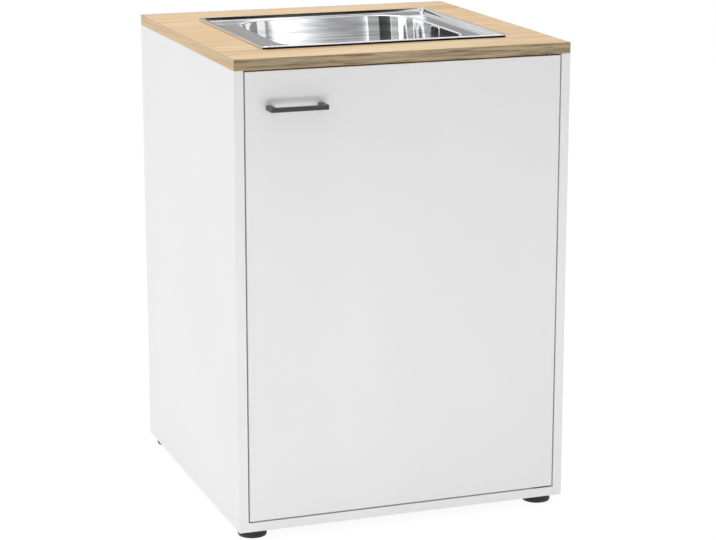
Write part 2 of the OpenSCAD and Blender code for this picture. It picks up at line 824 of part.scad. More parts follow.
// Cup under the trap body: its collar goes over the body's skirt, ribs give grip
module trap_cup() {
    r = trap_d / 2;
    color("white") translate([0, waste_y, trap_bottom]) difference() {
        union() {
            rotate_extrude($fn = 64) polygon([[0, 0], [r - cup_foot, 0], [r, cup_foot], [r, cup_h - 5],
                [r + collar_t, cup_h - 4], [r + collar_t, cup_h + collar_h], [r + fit, cup_h + collar_h],
                [r + fit, cup_h], [r - cup_wall, cup_h], [r - cup_wall, cup_foot + 1],
                [r - cup_foot - 1, cup_wall], [0, cup_wall]]);
            for (i = [1 : cup_ribs]) rotate([0, 0, i * 360 / cup_ribs])
                translate([r - 1, -collar_t / 2, cup_foot + collar_t])
                    cube([collar_t + 1.5, collar_t, cup_h + collar_h - cup_foot - 5]);
        }
        translate([0, 0, cup_h]) cylinder(r = r + fit, h = collar_h + 1);
    }
}
module trap_outlet_nut() {
    color("white") translate([0, arm_end + nut_shoulder, arm_z]) rotate([90, 0, 0]) nut();
}
module trap_outlet_pipe() {
    start = arm_end - socket_h + 2;
    color("white") difference() {
        union() {
            rod_y(pipe_d, outlet_end - start, 0, start, arm_z);
            // bead that stops a push-on sleeve
            rod_y(bead_d, bead_w, 0, outlet_end - outlet_spigot - bead_w, arm_z);
        }
        rod_y(pipe_bore, outlet_end - start + 2, 0, start - 1, arm_z);
    }
}

// Door with its edge band, bushes and pilot holes
module door_panel() {
    color("white") difference() {
        box(door_left + band_t, front, door_z + band_t, door_w - 2 * band_t, door_t, door_h - 2 * band_t);
        for (z = [door_z, door_top])
            rod_z(bush_d, 2 * (pivot_reach + bush_floor), pivot_x, pivot_y, z - pivot_reach - bush_floor);
        for (s = sides)
            rod_y(handle_hole_d, door_t + 2, handle_x + s * handle_pitch / 2, front - 1, handle_z);
        for (z = catch_zs) {
            box(strike_x - strike_w / 2 - fit, front + door_t - strike_t / 2, z - strike_h / 2 - fit,
                strike_w + 2 * fit, strike_t, strike_h + 2 * fit);
            for (s = sides) rod_y(strike_screw_d + fit, strike_screw_l + 1, strike_x,
                front + door_t - strike_screw_l, z + s * strike_hole);
        }
    }
}
module door_edge_band() {
    color("white") difference() {
        box(door_left, front, door_z, door_w, door_t, door_h);
        box(door_left + band_t, front - 1, door_z + band_t, door_w - 2 * band_t, door_t + 2,
            door_h - 2 * band_t);
        rod_z(bush_d, door_h + 2, pivot_x, pivot_y, door_z - 1);
    }
}
// Bush: sleeve in the door with a flange in the gap
module bush(flange_t) {
    difference() {
        union() {
            translate([0, 0, -flange_t]) cylinder(d = bush_flange_d, h = flange_t);
            cylinder(d = bush_d, h = pivot_reach + bush_floor);
        }
        translate([0, 0, -flange_t - 1])
            cylinder(d = pivot_d + 2 * run_fit, h = pivot_reach + slip + flange_t + 1);
    }
}
module door_bushes() {
    color("dimgray") {
        translate([pivot_x, pivot_y, door_z]) bush(door_gap - 2 * fit);
        translate([pivot_x, pivot_y, door_top]) mirror([0, 0, 1]) bush(upper_flange);
    }
}

// Pivot plate with its pin, let into the bottom panel and into the worktop
module pivot_outline(grow) {
    translate([pivot_x, pivot_y]) rrect(plate_l + 2 * grow, plate_w + 2 * grow, plate_r);
}
module pivot_screw_holes(z) {
    for (s = sides) rod_z(plate_screw_d, plate_screw_l + 2, pivot_x + s * plate_screw, pivot_y, z);
}
module pivot(gap) {
    difference() {
        union() {
            linear_extrude(plate_t) rrect(plate_l, plate_w, plate_r);
            cylinder(d = pivot_d, h = plate_t + gap + pivot_reach);
        }
        for (s = sides) translate([s * plate_screw, 0, -1]) cylinder(d = plate_hole_d, h = plate_t + 2);
    }
}
module lower_pivot() {
    color("silver") translate([pivot_x, pivot_y, floor_z - plate_t]) pivot(door_gap);
}
module upper_pivot() {
    color("silver") translate([pivot_x, pivot_y, under + plate_t]) mirror([0, 0, 1]) pivot(door_top_gap);
}
module pivot_screws() {
    color("gray") for (s = sides, end = [[floor_z, 0], [under, 1]])
        translate([pivot_x + s * plate_screw, pivot_y, end[0]]) mirror([0, 0, end[1]])
            screw(plate_screw_d, plate_screw_l, plate_head_d, plate_head_h);
}

// Outline of a bow that stands on the door: round corners away from the door
module bow(w, h, r, past = 0) {
    translate([0, -h / 2]) rrect(w, h, r);
    translate([-w / 2, -h / 2]) square([w, h / 2 + past]);
}
// Bow handle: a flat bar with two legs, screwed from behind
module handle() {
    color("dimgray") difference() {
        translate([handle_x, front, handle_z - handle_h / 2]) linear_extrude(handle_h) difference() {
            bow(handle_len, handle_out, handle_r);
            bow(handle_len - 2 * leg_w, handle_out - handle_t, handle_r / 2, 1);
        }
        for (s = sides) rod_y(handle_screw_d, handle_hole_in + 1, handle_x + s * handle_pitch / 2,
            front - handle_hole_in, handle_z);
    }
}
module handle_screws() {
    color("silver") for (s = sides) translate([handle_x + s * handle_pitch / 2, front + door_t, handle_z])
        rotate([-90, 0, 0]) screw(handle_screw_d, door_t + handle_screw_in, handle_head_d, handle_head_h);
}

// Magnetic catches on the left side and their strike plates on the door
module strike_plates() {
    color("silver") for (z = catch_zs) difference() {
        box(strike_x - strike_w / 2, front + door_t - strike_t / 2, z - strike_h / 2, strike_w,
            1.5 * strike_t, strike_h);
        for (s = sides) rod_y(strike_screw_d + slip, 3 * strike_t, strike_x, front + door_t - strike_t,
            z + s * strike_hole);
    }
}
module strike_screws() {
    color("gray") for (z = catch_zs, s = sides) rod_y(strike_screw_d, strike_screw_l, strike_x,
        front + door_t + strike_t - strike_screw_l, z + s * strike_hole);
}
module magnetic_catches() {
    color("white") for (z = catch_zs) difference() {
        box(-inner, catch_face + strike_gap, z - catch_h / 2, catch_w, catch_deep, catch_h);
        box(-inner + catch_wall, catch_face, z - magnet_h / 2, catch_w - 2 * catch_wall,
            magnet_deep + strike_gap, magnet_h);
        for (s = sides)
            rod_x(catch_screw_d + 2 * fit, catch_w + 2, -inner - 1, catch_y, z + s * catch_screw_z);
    }
}
module catch_magnets() {
    inset = catch_wall + 2 * fit;
    color("dimgray") for (z = catch_zs) box(-inner + inset, catch_face, z - magnet_h / 2 + 2 * fit,
        catch_w - 2 * inset, magnet_deep, magnet_h - 4 * fit);
}
module catch_screws() {
    color("gray") for (z = catch_zs, s = sides)
        translate([-inner + catch_w, catch_y, z + s * catch_screw_z]) rotate([0, 90, 0])
            screw(catch_screw_d, catch_screw_l, catch_head_d, catch_head_h);
}

// Levelling feet and the sockets that hold their threads
module foot_sockets() {
    color("whitesmoke") for (s = sides, y = [foot_front_y, foot_rear_y]) difference() {
        rod_z(socket_d - fit, board, s * foot_x, y, foot_gap);
        rod_z(thread_d + 2 * run_fit, board + 2, s * foot_x, y, foot_gap - 1);
    }
}
module foot(x, y) {
    r = foot_d / 2;
    disc_top = foot_gap - 1;
    color("black") translate([x, y, 0]) difference() {
        union() {
            rotate_extrude($fn = 64) polygon([[0, 0], [r - 1, 0], [r, 1], [r, foot_lip],
                [r - 1.5, foot_lip + 1.5], [r - 1.5, disc_top], [0, disc_top]]);
            cylinder(d = thread_d, h = stem_top);
        }
        translate([0, 0, stem_top - driver_h]) driver_cross(driver_h + 1);
        // hand grips around the disc
        for (i = [1 : foot_grips]) rotate([0, 0, i * 360 / foot_grips])
            translate([r + 0.2, 0, foot_lip + 1.5]) cylinder(d = foot_grip_d, h = disc_top);
    }
}
// Cross slot for a screwdriver, its floor or its mouth at z = 0
module driver_cross(h) {
    for (a = [0, 90]) rotate([0, 0, a]) translate([-driver_l / 2, -driver_w / 2, -eps])
        cube([driver_l, driver_w, h]);
}
module front_left_foot() { foot(-foot_x, foot_front_y); }
module front_right_foot() { foot(foot_x, foot_front_y); }
module rear_left_foot() { foot(-foot_x, foot_rear_y); }
module rear_right_foot() { foot(foot_x, foot_rear_y); }

left_side_panel();
right_side_panel();
bottom_panel();
back_panel();
front_rail();
rear_rail();
cam_locks();
cam_bolts();
wood_dowels();
worktop();
worktop_edge_band();
worktop_brackets();
bracket_screws();
sink_seal();
sink();
sink_clamps();
clamp_screws();
waste_flange();
waste_gasket();
waste_cup();
waste_nut();
basket_strainer();
overflow_plate();
overflow_elbow();
overflow_hose();
trap_inlet_pipe();
trap_inlet_nut();
trap_body();
trap_cup();
trap_outlet_nut();
trap_outlet_pipe();
door_panel();
door_edge_band();
door_bushes();
handle();
handle_screws();
strike_plates();
strike_screws();
lower_pivot();
upper_pivot();
pivot_screws();
magnetic_catches();
catch_magnets();
catch_screws();
foot_sockets();
front_left_foot();
front_right_foot();
rear_left_foot();
rear_right_foot();
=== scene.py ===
# Sink base cabinet: white boards, inset door, oak-look worktop and a pressed steel sink with its trap
import json
from math import cos, pi, radians, sin

import bmesh
import bpy
from mathutils import Matrix, Vector


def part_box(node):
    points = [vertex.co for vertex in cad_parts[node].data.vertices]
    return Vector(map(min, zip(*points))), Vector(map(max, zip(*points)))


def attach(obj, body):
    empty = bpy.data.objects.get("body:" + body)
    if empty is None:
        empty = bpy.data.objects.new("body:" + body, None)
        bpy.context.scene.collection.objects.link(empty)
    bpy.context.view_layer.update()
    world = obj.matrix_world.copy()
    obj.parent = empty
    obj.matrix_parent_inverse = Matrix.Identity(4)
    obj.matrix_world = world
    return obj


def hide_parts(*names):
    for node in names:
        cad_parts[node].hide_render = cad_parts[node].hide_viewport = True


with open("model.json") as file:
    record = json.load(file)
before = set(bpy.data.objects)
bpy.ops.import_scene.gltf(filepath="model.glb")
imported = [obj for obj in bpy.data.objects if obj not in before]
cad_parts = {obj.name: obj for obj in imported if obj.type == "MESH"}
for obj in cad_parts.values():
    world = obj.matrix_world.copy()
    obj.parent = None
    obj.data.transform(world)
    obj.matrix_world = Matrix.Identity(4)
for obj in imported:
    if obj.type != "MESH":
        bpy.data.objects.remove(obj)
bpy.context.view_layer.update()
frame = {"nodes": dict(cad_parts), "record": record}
nodes = frame["nodes"]
print("frame loaded:", len(nodes), "nodes")


def newMesh(name, points, edges, faces):
    mesh = bpy.data.meshes.new(name)
    mesh.from_pydata(points, edges, faces)
    return mesh


def putInScene(name, data):
    thing = bpy.data.objects.new(name, data)
    bpy.context.scene.collection.objects.link(thing)
    return thing


# camera

camera = {
    "place": (-1.350, -3.810, 1.384),
    "turn": 19.73,  # degrees to the right of straight ahead
    "tilt": 13.84,  # degrees below the horizon
    "lens": 114.74,
    "sensor": 36,
    "farthest": 60,
}


def addCamera():
    data = bpy.data.cameras.new("photoCamera")
    data.lens = camera["lens"]
    data.sensor_width = camera["sensor"]
    data.clip_end = camera["farthest"]
    view = putInScene("photoCamera", data)
    view.location = camera["place"]
    view.rotation_euler = (radians(90 - camera["tilt"]), 0, -radians(camera["turn"]))
    bpy.context.scene.camera = view


addCamera()


def toLinear(hexText):  # sRGB hex to the linear colour that the shaders take
    parts = [int(hexText[i : i + 2], 16) / 255 for i in (1, 3, 5)]
    return tuple(p / 12.92 if p <= 0.04045 else ((p + 0.055) / 1.055) ** 2.4 for p in parts) + (1.0,)


def addNode(tree, kind, links=None, **settings):
    # a node stands for its first output, and a list goes to a socket that takes several
    node = tree.nodes.new(kind)
    for name, value in settings.items():
        setattr(node, name, value)
    for key, value in (links or {}).items():
        for one in value if isinstance(value, list) else [value]:
            if isinstance(one, bpy.types.Node):
                one = one.outputs[0]
            if isinstance(one, bpy.types.NodeSocket):
                tree.links.new(one, node.inputs[key])
            else:
                node.inputs[key].default_value = one
    return node


def emptyTree(owner):  # the cleared node tree of a material or a world
    owner.use_nodes = True
    owner.node_tree.nodes.clear()
    return owner.node_tree


# light and room

lighting = {
    "ambient": 0.565,  # what the white room gives to every side
    "floorTone": (0.94, 0.94, 0.94, 1),
    "floorGlow": 0.85,  # share of the floor that stays white whatever falls on it
    "floorWhite": 1.08,
    "floorReach": 9,
    "lamps": [
        # name, place, aim, width, height, watts, whether polished faces mirror it
        ("overheadBox", (-0.5, 0.4, 3.4), (0.0, 0.0, 0.8), 2.4, 2.0, 37, True),
        ("leftBox", (-3.6, 0.3, 1.4), (-0.3, 0.0, 0.4), 2.2, 2.2, 25, True),
        ("frontBox", (-0.1, -1.9, 0.15), (0.0, -0.3, 0.0), 1.8, 0.2, 6.6, False),
    ],
    # studio cards that only polished metal sees:
    # name, lowest corner, highest corner, grey at its left and right end
    "cards": [
        ("rearFarCard", (-3.8, 3.0, 0.3), (0.2, 3.0, 1.9), 0.72, 0.72),
        ("rearLeftCard", (0.2, 3.0, 0.95), (0.88, 3.0, 1.7), 0.40, 0.40),
        ("rearWhiteCard", (0.88, 3.0, 0.95), (1.32, 3.0, 1.7), 1.1, 1.1),
        ("rearRightCard", (1.32, 3.0, 0.95), (3.4, 3.0, 1.7), 0.34, 0.34),
        ("frontLowCard", (0.2, -3.2, 0.02), (3.2, -3.2, 1.48), 0.003, 0.003),
        ("frontDarkCard", (-4.2, -3.2, 1.48), (-0.95, -3.2, 2.7), 0.12, 0.05),
        ("frontMiddleCard", (-0.95, -3.2, 1.48), (0.97, -3.2, 3.2), 0.45, 0.45),
        ("frontWhiteCard", (0.97, -3.2, 1.48), (1.10, -3.2, 3.2), 1.8, 1.8),
        ("frontFadeCard", (1.10, -3.2, 1.48), (1.2, -3.2, 3.2), 1.8, 0.42),
        ("frontGreyCard", (1.2, -3.2, 1.48), (1.7, -3.2, 3.2), 0.40, 0.38),
        ("rightGreyCard", (4.4, -3.2, 1.3), (4.4, 1.6, 3.0), 0.3, 0.3),
        ("leftPaleCard", (-4.6, -3.2, 1.2), (-4.6, -1.2, 3.0), 0.6, 0.6),
        ("leftGreyCard", (-4.6, -1.2, 0.5), (-4.6, 3.6, 3.0), 0.22, 0.22),
    ],
}


def addLights():
    for name, place, aim, wide, high, watts, mirrored in lighting["lamps"]:
        data = bpy.data.lights.new(name, "AREA")
        data.shape = "RECTANGLE"
        data.size, data.size_y = wide, high
        data.energy = watts
        lamp = putInScene(name, data)
        lamp.location = place
        lamp.rotation_euler = (Vector(aim) - Vector(place)).to_track_quat("-Z", "Y").to_euler()
        lamp.visible_camera = False
        lamp.visible_glossy = mirrored


def seenDirectly(tree):  # 1 where the camera, a mirror or clear glass looks, 0 for scattered light
    path = addNode(tree, "ShaderNodeLightPath").outputs
    first = {0: path["Is Camera Ray"], 1: path["Is Glossy Ray"]}
    both = addNode(tree, "ShaderNodeMath", first, operation="MAXIMUM")
    return addNode(tree, "ShaderNodeMath", {0: both, 1: path["Is Transmission Ray"]}, operation="MAXIMUM")


def addStageSheet(name, corners, paint):
    mesh = newMesh(name, corners, [], [(0, 1, 2, 3)])
    mesh.materials.append(paint)
    sheet = putInScene(name, mesh)
    return sheet


def addRoom():
    white = (1, 1, 1, 1)
    world = bpy.data.worlds.new("whiteRoom")
    bpy.context.scene.world = world
    tree = emptyTree(world)
    span = {"Value": seenDirectly(tree), "To Min": lighting["ambient"], "To Max": 1.0}
    strength = addNode(tree, "ShaderNodeMapRange", span)
    back = addNode(tree, "ShaderNodeBackground", {"Color": white, "Strength": strength})
    addNode(tree, "ShaderNodeOutputWorld", {"Surface": back})

    paint = bpy.data.materials.new("paleFloorPaint")
    tree = emptyTree(paint)
    matt = addNode(tree, "ShaderNodeBsdfDiffuse", {"Color": lighting["floorTone"]})
    glow = addNode(tree, "ShaderNodeEmission", {"Color": white, "Strength": lighting["floorWhite"]})
    lit = {0: seenDirectly(tree), 1: lighting["floorGlow"]}
    share = addNode(tree, "ShaderNodeMath", lit, operation="MULTIPLY")
    mixed = addNode(tree, "ShaderNodeMixShader", {0: share, 1: matt, 2: glow})
    addNode(tree, "ShaderNodeOutputMaterial", {"Surface": mixed})
    far = lighting["floorReach"]
    addStageSheet("paleFloor", [(-far, -far, 0), (far, -far, 0), (far, far, 0), (-far, far, 0)], paint)


def addCards():
    for name, (x0, y0, z0), (x1, y1, z1), leftGrey, rightGrey in lighting["cards"]:
        paint = bpy.data.materials.new(name + "Paint")
        tree = emptyTree(paint)
        where = addNode(tree, "ShaderNodeTexCoord").outputs["Generated"]
        across = addNode(tree, "ShaderNodeSeparateXYZ", {0: where})
        grey = addNode(tree, "ShaderNodeMapRange", {"Value": across, "To Min": leftGrey, "To Max": rightGrey})
        glow = addNode(tree, "ShaderNodeEmission", {"Color": (1, 1, 1, 1), "Strength": grey})
        addNode(tree, "ShaderNodeOutputMaterial", {"Surface": glow})
        card = addStageSheet(name, [(x0, y0, z0), (x1, y1, z0), (x1, y1, z1), (x0, y0, z1)], paint)
        card.visible_camera = False
        card.visible_diffuse = False
        card.visible_transmission = False
        card.visible_shadow = False


addLights()
addRoom()
addCards()
bpy.context.scene.view_settings.view_transform = "Standard"
print("camera, lamps and room ready")

# finishes: sizes in millimetres of one grain, streak or cloud along X, Y and Z, or one number for all three

plainVeil = {"detail": 2.0, "fray": 0.5, "bend": 0.0, "between": (0.35, 0.65)}
plainSkin = plainVeil | {"fray": 0.55, "between": (0.3, 0.7), "depth": 0.2}


def addGrain(tree, coords, layer):  # noise whose grains are as big as the layer says
    size = layer["size"] if isinstance(layer["size"], tuple) else (layer["size"],) * 3
    points = addNode(tree, "ShaderNodeMapping", {"Vector": coords, "Scale": tuple(1000 / s for s in size)})
    noise = {
        "Vector": points,
        "Scale": 1.0,
        "Detail": layer["detail"],
        "Roughness": layer["fray"],
        "Distortion": layer["bend"],
    }
    return addNode(tree, "ShaderNodeTexNoise", noise)


def makeFinish(name, look):
    # a base tone, veils of other tones let through by noise, and a skin that gives relief and shine
    made = bpy.data.materials.new(name)
    tree = emptyTree(made)
    if "place" in look:  # the mesh carries its own coordinates, so that the lines turn where the sheet does
        coords = addNode(tree, "ShaderNodeAttribute", attribute_name=look["place"]).outputs["Vector"]
    else:
        coords = addNode(tree, "ShaderNodeTexCoord").outputs["Object"]

    tone = toLinear(look["tone"])
    for veil in look["veils"]:
        veil = plainVeil | veil
        low, high = veil["between"]
        span = {"Value": addGrain(tree, coords, veil), "From Min": low, "From Max": high}
        amount = addNode(tree, "ShaderNodeMapRange", span)
        tones = {"Factor": amount, 6: tone, 7: toLinear(veil["tone"])}
        tone = addNode(tree, "ShaderNodeMix", tones, data_type="RGBA").outputs[2]

    skin = plainSkin | look["skin"]
    relief = addGrain(tree, coords, skin)
    low, high = skin["between"]
    shiny, matt = skin["rough"]
    span = {"Value": relief, "From Min": low, "From Max": high, "To Min": shiny, "To Max": matt}
    spread = addNode(tree, "ShaderNodeMapRange", span)
    rise = {"Height": relief, "Strength": skin["strength"], "Distance": skin["depth"] / 1000}
    bump = addNode(tree, "ShaderNodeBump", rise)
    surface = look.get("shader", {"IOR": 1.5}) | {"Base Color": tone, "Roughness": spread, "Normal": bump}
    shader = addNode(tree, "ShaderNodeBsdfPrincipled", surface)
    addNode(tree, "ShaderNodeOutputMaterial", {"Surface": shader})
    return made


# melamine paper pressed on particle board: hard satin white with a fine pearl grain
whiteMelamine = makeFinish("whiteMelamine", {
    "tone": "#f3f3f3",
    "veils": [{"size": 300, "tone": "#f1f1f1"}],
    "skin": {"size": 1.1, "rough": (0.38, 0.46), "strength": 0.12},
})
# smooth foil wrapped on the door front: a cooler white, a little silkier than the sides
whiteDoorFoil = makeFinish("whiteDoorFoil", {
    "tone": "#f1f1f1",
    "veils": [{"size": (260, 260, 400), "tone": "#efefef"}],
    "skin": {"size": 1.4, "rough": (0.34, 0.40), "strength": 0.08},
})
# painted hardboard: thin matt white with the soft unevenness of pressed fibre
whiteHardboard = makeFinish("whiteHardboard", {
    "tone": "#efefee",
    "veils": [{"size": 60, "detail": 3.0, "between": (0.3, 0.7), "tone": "#eaeae9"}],
    "skin": {"size": 2.2, "rough": (0.46, 0.56), "strength": 0.2, "depth": 0.3},
})
# oak-print laminate on the worktop: long streaks along the board, slow figure, thin darker grain lines
oakLaminate = makeFinish("oakLaminate", {
    "shader": {"IOR": 1.5, "Specular IOR Level": 0.4},
    "tone": "#e4c292",
    "veils": [
        {"size": (600, 70, 70), "detail": 3.0, "bend": 0.8, "between": (0.42, 0.62), "tone": "#ecd1a8"},
        {"size": (380, 24, 24), "detail": 5.0, "fray": 0.62, "bend": 0.5, "between": (0.5, 0.68),
         "tone": "#d0a673"},
        {"size": (110, 2.6, 2.6), "detail": 3.0, "fray": 0.6, "between": (0.5, 0.78), "tone": "#c79c69"},
        {"size": (30, 1.4, 1.4), "between": (0.62, 0.74), "tone": "#ba8e5a"},
    ],
    "skin": {"size": (26, 0.9, 0.9), "rough": (0.40, 0.5), "strength": 0.16},
})
# the same print on the edge strips at the left, right and rear, its streaks along the strip
oakSideStrip = makeFinish("oakSideStrip", {
    "tone": "#d6ba90",
    "veils": [
        {"size": (60, 600, 30), "detail": 3.0, "bend": 0.6, "between": (0.42, 0.62), "tone": "#dfc69f"},
        {"size": (16, 300, 6), "detail": 4.0, "fray": 0.6, "between": (0.5, 0.74), "tone": "#cdae82"},
        {"size": (2.6, 90, 1.6), "between": (0.55, 0.75), "tone": "#bf9d70"},
    ],
    "skin": {"size": (0.9, 26, 0.9), "rough": (0.42, 0.52), "strength": 0.16},
})
# the front strip is thicker and darker: greyed oak with strong streaks
oakFrontStrip = makeFinish("oakFrontStrip", {
    "tone": "#a69274",
    "veils": [
        {"size": (300, 60, 8), "detail": 3.0, "bend": 0.5, "between": (0.44, 0.56), "tone": "#bca886"},
        {"size": (120, 30, 3.6), "detail": 4.0, "fray": 0.65, "between": (0.48, 0.64), "tone": "#85735a"},
        {"size": (50, 10, 2.0), "between": (0.56, 0.7), "tone": "#6c5b45"},
    ],
    "skin": {"size": (26, 0.9, 0.9), "rough": (0.46, 0.56), "strength": 0.18},
})
# 18/10 stainless sheet, drawn and brushed: mirror-like, its faint lines level on the walls and along Y on the
# deck (real brush lines are 0.1 mm apart; here they are 2 to 3 mm apart so that they show)
brushedStainless = makeFinish("brushedStainless", {
    "shader": {"Metallic": 1.0},
    "place": "brushPlace",
    "tone": "#f4f4f5",
    "veils": [
        {"size": (240, 240, 2.2), "detail": 4.0, "between": (0.42, 0.68), "tone": "#d6d7d9"},
        {"size": (120, 120, 7.0), "between": (0.5, 0.75), "tone": "#cacbcd"},
    ],
    "skin": {"size": (180, 180, 2.6), "detail": 3.0, "rough": (0.05, 0.12), "strength": 0.06, "depth": 0.05},
})
# turned and polished stainless of the waste: bright, with hardly any lines
polishedStainless = makeFinish("polishedStainless", {
    "shader": {"Metallic": 1.0},
    "tone": "#dcdddd",
    "veils": [{"size": 9, "detail": 3.0, "between": (0.4, 0.8), "tone": "#cfd0d1"}],
    "skin": {"size": (1.2, 1.2, 14), "rough": (0.10, 0.18), "strength": 0.04, "depth": 0.05},
})
# zinc plating on steel: bluish silver, slightly cloudy, satin
zincPlate = makeFinish("zincPlate", {
    "shader": {"Metallic": 1.0},
    "tone": "#c2c4c8",
    "veils": [{"size": 4, "detail": 3.0, "between": (0.4, 0.7), "tone": "#a6a8ad"}],
    "skin": {"size": 1.5, "rough": (0.28, 0.42), "strength": 0.12, "depth": 0.1},
})
# anthracite powder coat: dark resin skin, satin, with a fine orange peel
anthraciteCoat = makeFinish("anthraciteCoat", {
    "tone": "#3f4042",
    "veils": [{"size": 17, "tone": "#434446"}],
    "skin": {"size": 0.6, "rough": (0.38, 0.46), "strength": 0.2},
})
# moulded polypropylene of feet and bushes: even black with the spark texture of the tool
blackPolypropylene = makeFinish("blackPolypropylene", {
    "shader": {"IOR": 1.49},
    "tone": "#29292a",
    "veils": [{"size": 12, "tone": "#303031"}],
    "skin": {"size": 0.8, "rough": (0.46, 0.56), "strength": 0.3, "depth": 0.15},
})
# moulded white polypropylene of the trap: milky gloss
whitePolypropylene = makeFinish("whitePolypropylene", {
    "shader": {"IOR": 1.49},
    "tone": "#efefed",
    "veils": [{"size": 30, "tone": "#eaeae7"}],
    "skin": {"size": 1.4, "rough": (0.26, 0.36), "strength": 0.1, "depth": 0.15},
})
# blown grey polyethylene of the overflow hose: waxy and soft
greyPolyethylene = makeFinish("greyPolyethylene", {
    "shader": {"IOR": 1.51},
    "tone": "#9a9da1",
    "veils": [{"size": 22, "tone": "#8b8e92"}],
    "skin": {"size": 1.1, "rough": (0.40, 0.5), "strength": 0.18, "depth": 0.15},
})
# moulded nylon of catches and sockets: uncoloured, slightly warm white
naturalNylon = makeFinish("naturalNylon", {
    "shader": {"IOR": 1.53},
    "tone": "#ecebe6",
    "veils": [{"size": 18, "tone": "#e4e3dd"}],
    "skin": {"size": 1.1, "rough": (0.36, 0.46), "strength": 0.18, "depth": 0.15},
})
# closed-cell foam strip under the rim: dull black with small pores; where it stands out under the rim's front
# edge, its black is also painted shade for the shadow gap there
sealingFoam = makeFinish("sealingFoam", {
    "shader": {"IOR": 1.45, "Specular IOR Level": 0.2},
    "tone": "#101011",
    "veils": [{"size": 1.2, "between": (0.5, 0.7), "tone": "#1a1a1b"}],
    "skin": {"size": 0.8, "rough": (0.85, 0.95), "strength": 0.5},
})
# pressed black rubber of the waste gasket
pressedRubber = makeFinish("pressedRubber", {
    "shader": {"IOR": 1.52, "Specular IOR Level": 0.3},
    "tone": "#18181a",
    "veils": [{"size": 14, "tone": "#202022"}],
    "skin": {"size": 0.9, "rough": (0.64, 0.76), "strength": 0.3},
})
# sintered ferrite of the catch magnets: dark grey, gritty
sinteredFerrite = makeFinish("sinteredFerrite", {
    "shader": {"IOR": 1.6},
    "tone": "#2b2a2c",
    "veils": [{"size": 3, "detail": 3.0, "between": (0.4, 0.7), "tone": "#3b3a3c"}],
    "skin": {"size": 0.9, "rough": (0.5, 0.62), "strength": 0.4, "depth": 0.15},
})
# turned beech of the dowels: pale and bare, with short rays along the pin
turnedBeech = makeFinish("turnedBeech", {
    "tone": "#dcbb8c",
    "veils": [{"size": (16, 1.1, 1.1), "detail": 3.0, "between": (0.4, 0.65), "tone": "#c79f6c"}],
    "skin": {"size": (10, 0.8, 0.8), "rough": (0.56, 0.68), "strength": 0.2, "depth": 0.15},
})
print("finishes ready")

# shared ways of making a mesh


def bodyOf(nodeName):
    return next(b for b, members in frame["record"]["behaviour"]["bodies"].items() if nodeName in members)


mending = {"join": 2e-6, "joinFine": 1e-6, "flatBelow": 0.6, "sharpFrom": 30}  # metres and degrees


def mendMesh(mesh, join=0.0, flatten=False, outwards=False):
    # joins doubled points, clears edges that lie in a flat face, and turns the faces outwards
    shape = bmesh.new()
    shape.from_mesh(mesh)
    if join:
        bmesh.ops.remove_doubles(shape, verts=shape.verts, dist=join)
    if flatten:
        limit = radians(mending["flatBelow"])
        bmesh.ops.dissolve_limit(shape, angle_limit=limit, verts=shape.verts, edges=shape.edges)
    if outwards:
        bmesh.ops.recalc_face_normals(shape, faces=shape.faces)
    shape.to_mesh(mesh)
    shape.free()


def bakeModifiers(piece):  # the evaluated shape becomes the piece's own plain mesh
    depsgraph = bpy.context.evaluated_depsgraph_get()
    mesh = bpy.data.meshes.new_from_object(piece.evaluated_get(depsgraph))
    piece.modifiers.clear()
    piece.data = mesh


def roundShading(mesh, sharpFrom=mending["sharpFrom"]):
    # smooth faces with hard lines where they meet at an angle
    for face in mesh.polygons:
        face.use_smooth = True
    mesh.set_sharp_from_angle(angle=radians(sharpFrom))


def enlist(piece, nodeName):
    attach(piece, bodyOf(nodeName))
    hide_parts(nodeName)
    return piece


def dressNode(nodeName, finish, rounding, segments=2):
    # a merged copy of the node, its edges broken as a cutter or a moulding tool leaves them
    mesh = nodes[nodeName].data.copy()
    mesh.materials.clear()
    mendMesh(mesh, mending["join"], flatten=True)
    roundShading(mesh)
    mesh.materials.append(finish)
    piece = putInScene(nodeName + "Finished", mesh)
    if rounding:
        bevel = piece.modifiers.new("brokenEdges", "BEVEL")
        bevel.width = rounding
        bevel.segments = segments
        bevel.limit_method = "ANGLE"
        bevel.angle_limit = radians(mending["sharpFrom"])
        bevel.harden_normals = True
        bakeModifiers(piece)
    return enlist(piece, nodeName)


def meshOfRows(name, rows, around=False, capped=False):
    # faces between neighbouring rows of points; a row may be a single point, and around joins last and first
    points, numbers = [], []
    for row in rows:
        numbers.append(range(len(points), len(points) + len(row)))
        points += row
    faces = []
    for low, high in zip(numbers, numbers[1:] + (numbers[:1] if around else [])):
        for i in range(max(len(low), len(high))):
            j = i + 1
            corners = [low[i % len(low)], low[j % len(low)], high[j % len(high)], high[i % len(high)]]
            face = tuple(dict.fromkeys(corners))  # a single point counts once
            if len(face) > 2:
                faces.append(face)
    if capped:
        faces += [tuple(numbers[0]), tuple(numbers[-1])]
    return newMesh(name, points, [], faces)


def turnedMesh(name, profile, steps=64, hollow=False):
    # a profile of (radius, height) in millimetres, turned about Z; a hollow profile is a closed loop
    rows = []
    for radius, height in profile:
        turns = [2 * pi * step / steps for step in range(steps if radius else 1)]
        rows.append([
            (radius / 1000 * cos(turn), radius / 1000 * sin(turn), height / 1000) for turn in turns
        ])
    mesh = meshOfRows(name, rows, around=hollow)
    mendMesh(mesh, outwards=True)
    return mesh


# Geometry Nodes: each tree takes a shape and named sizes, in metres


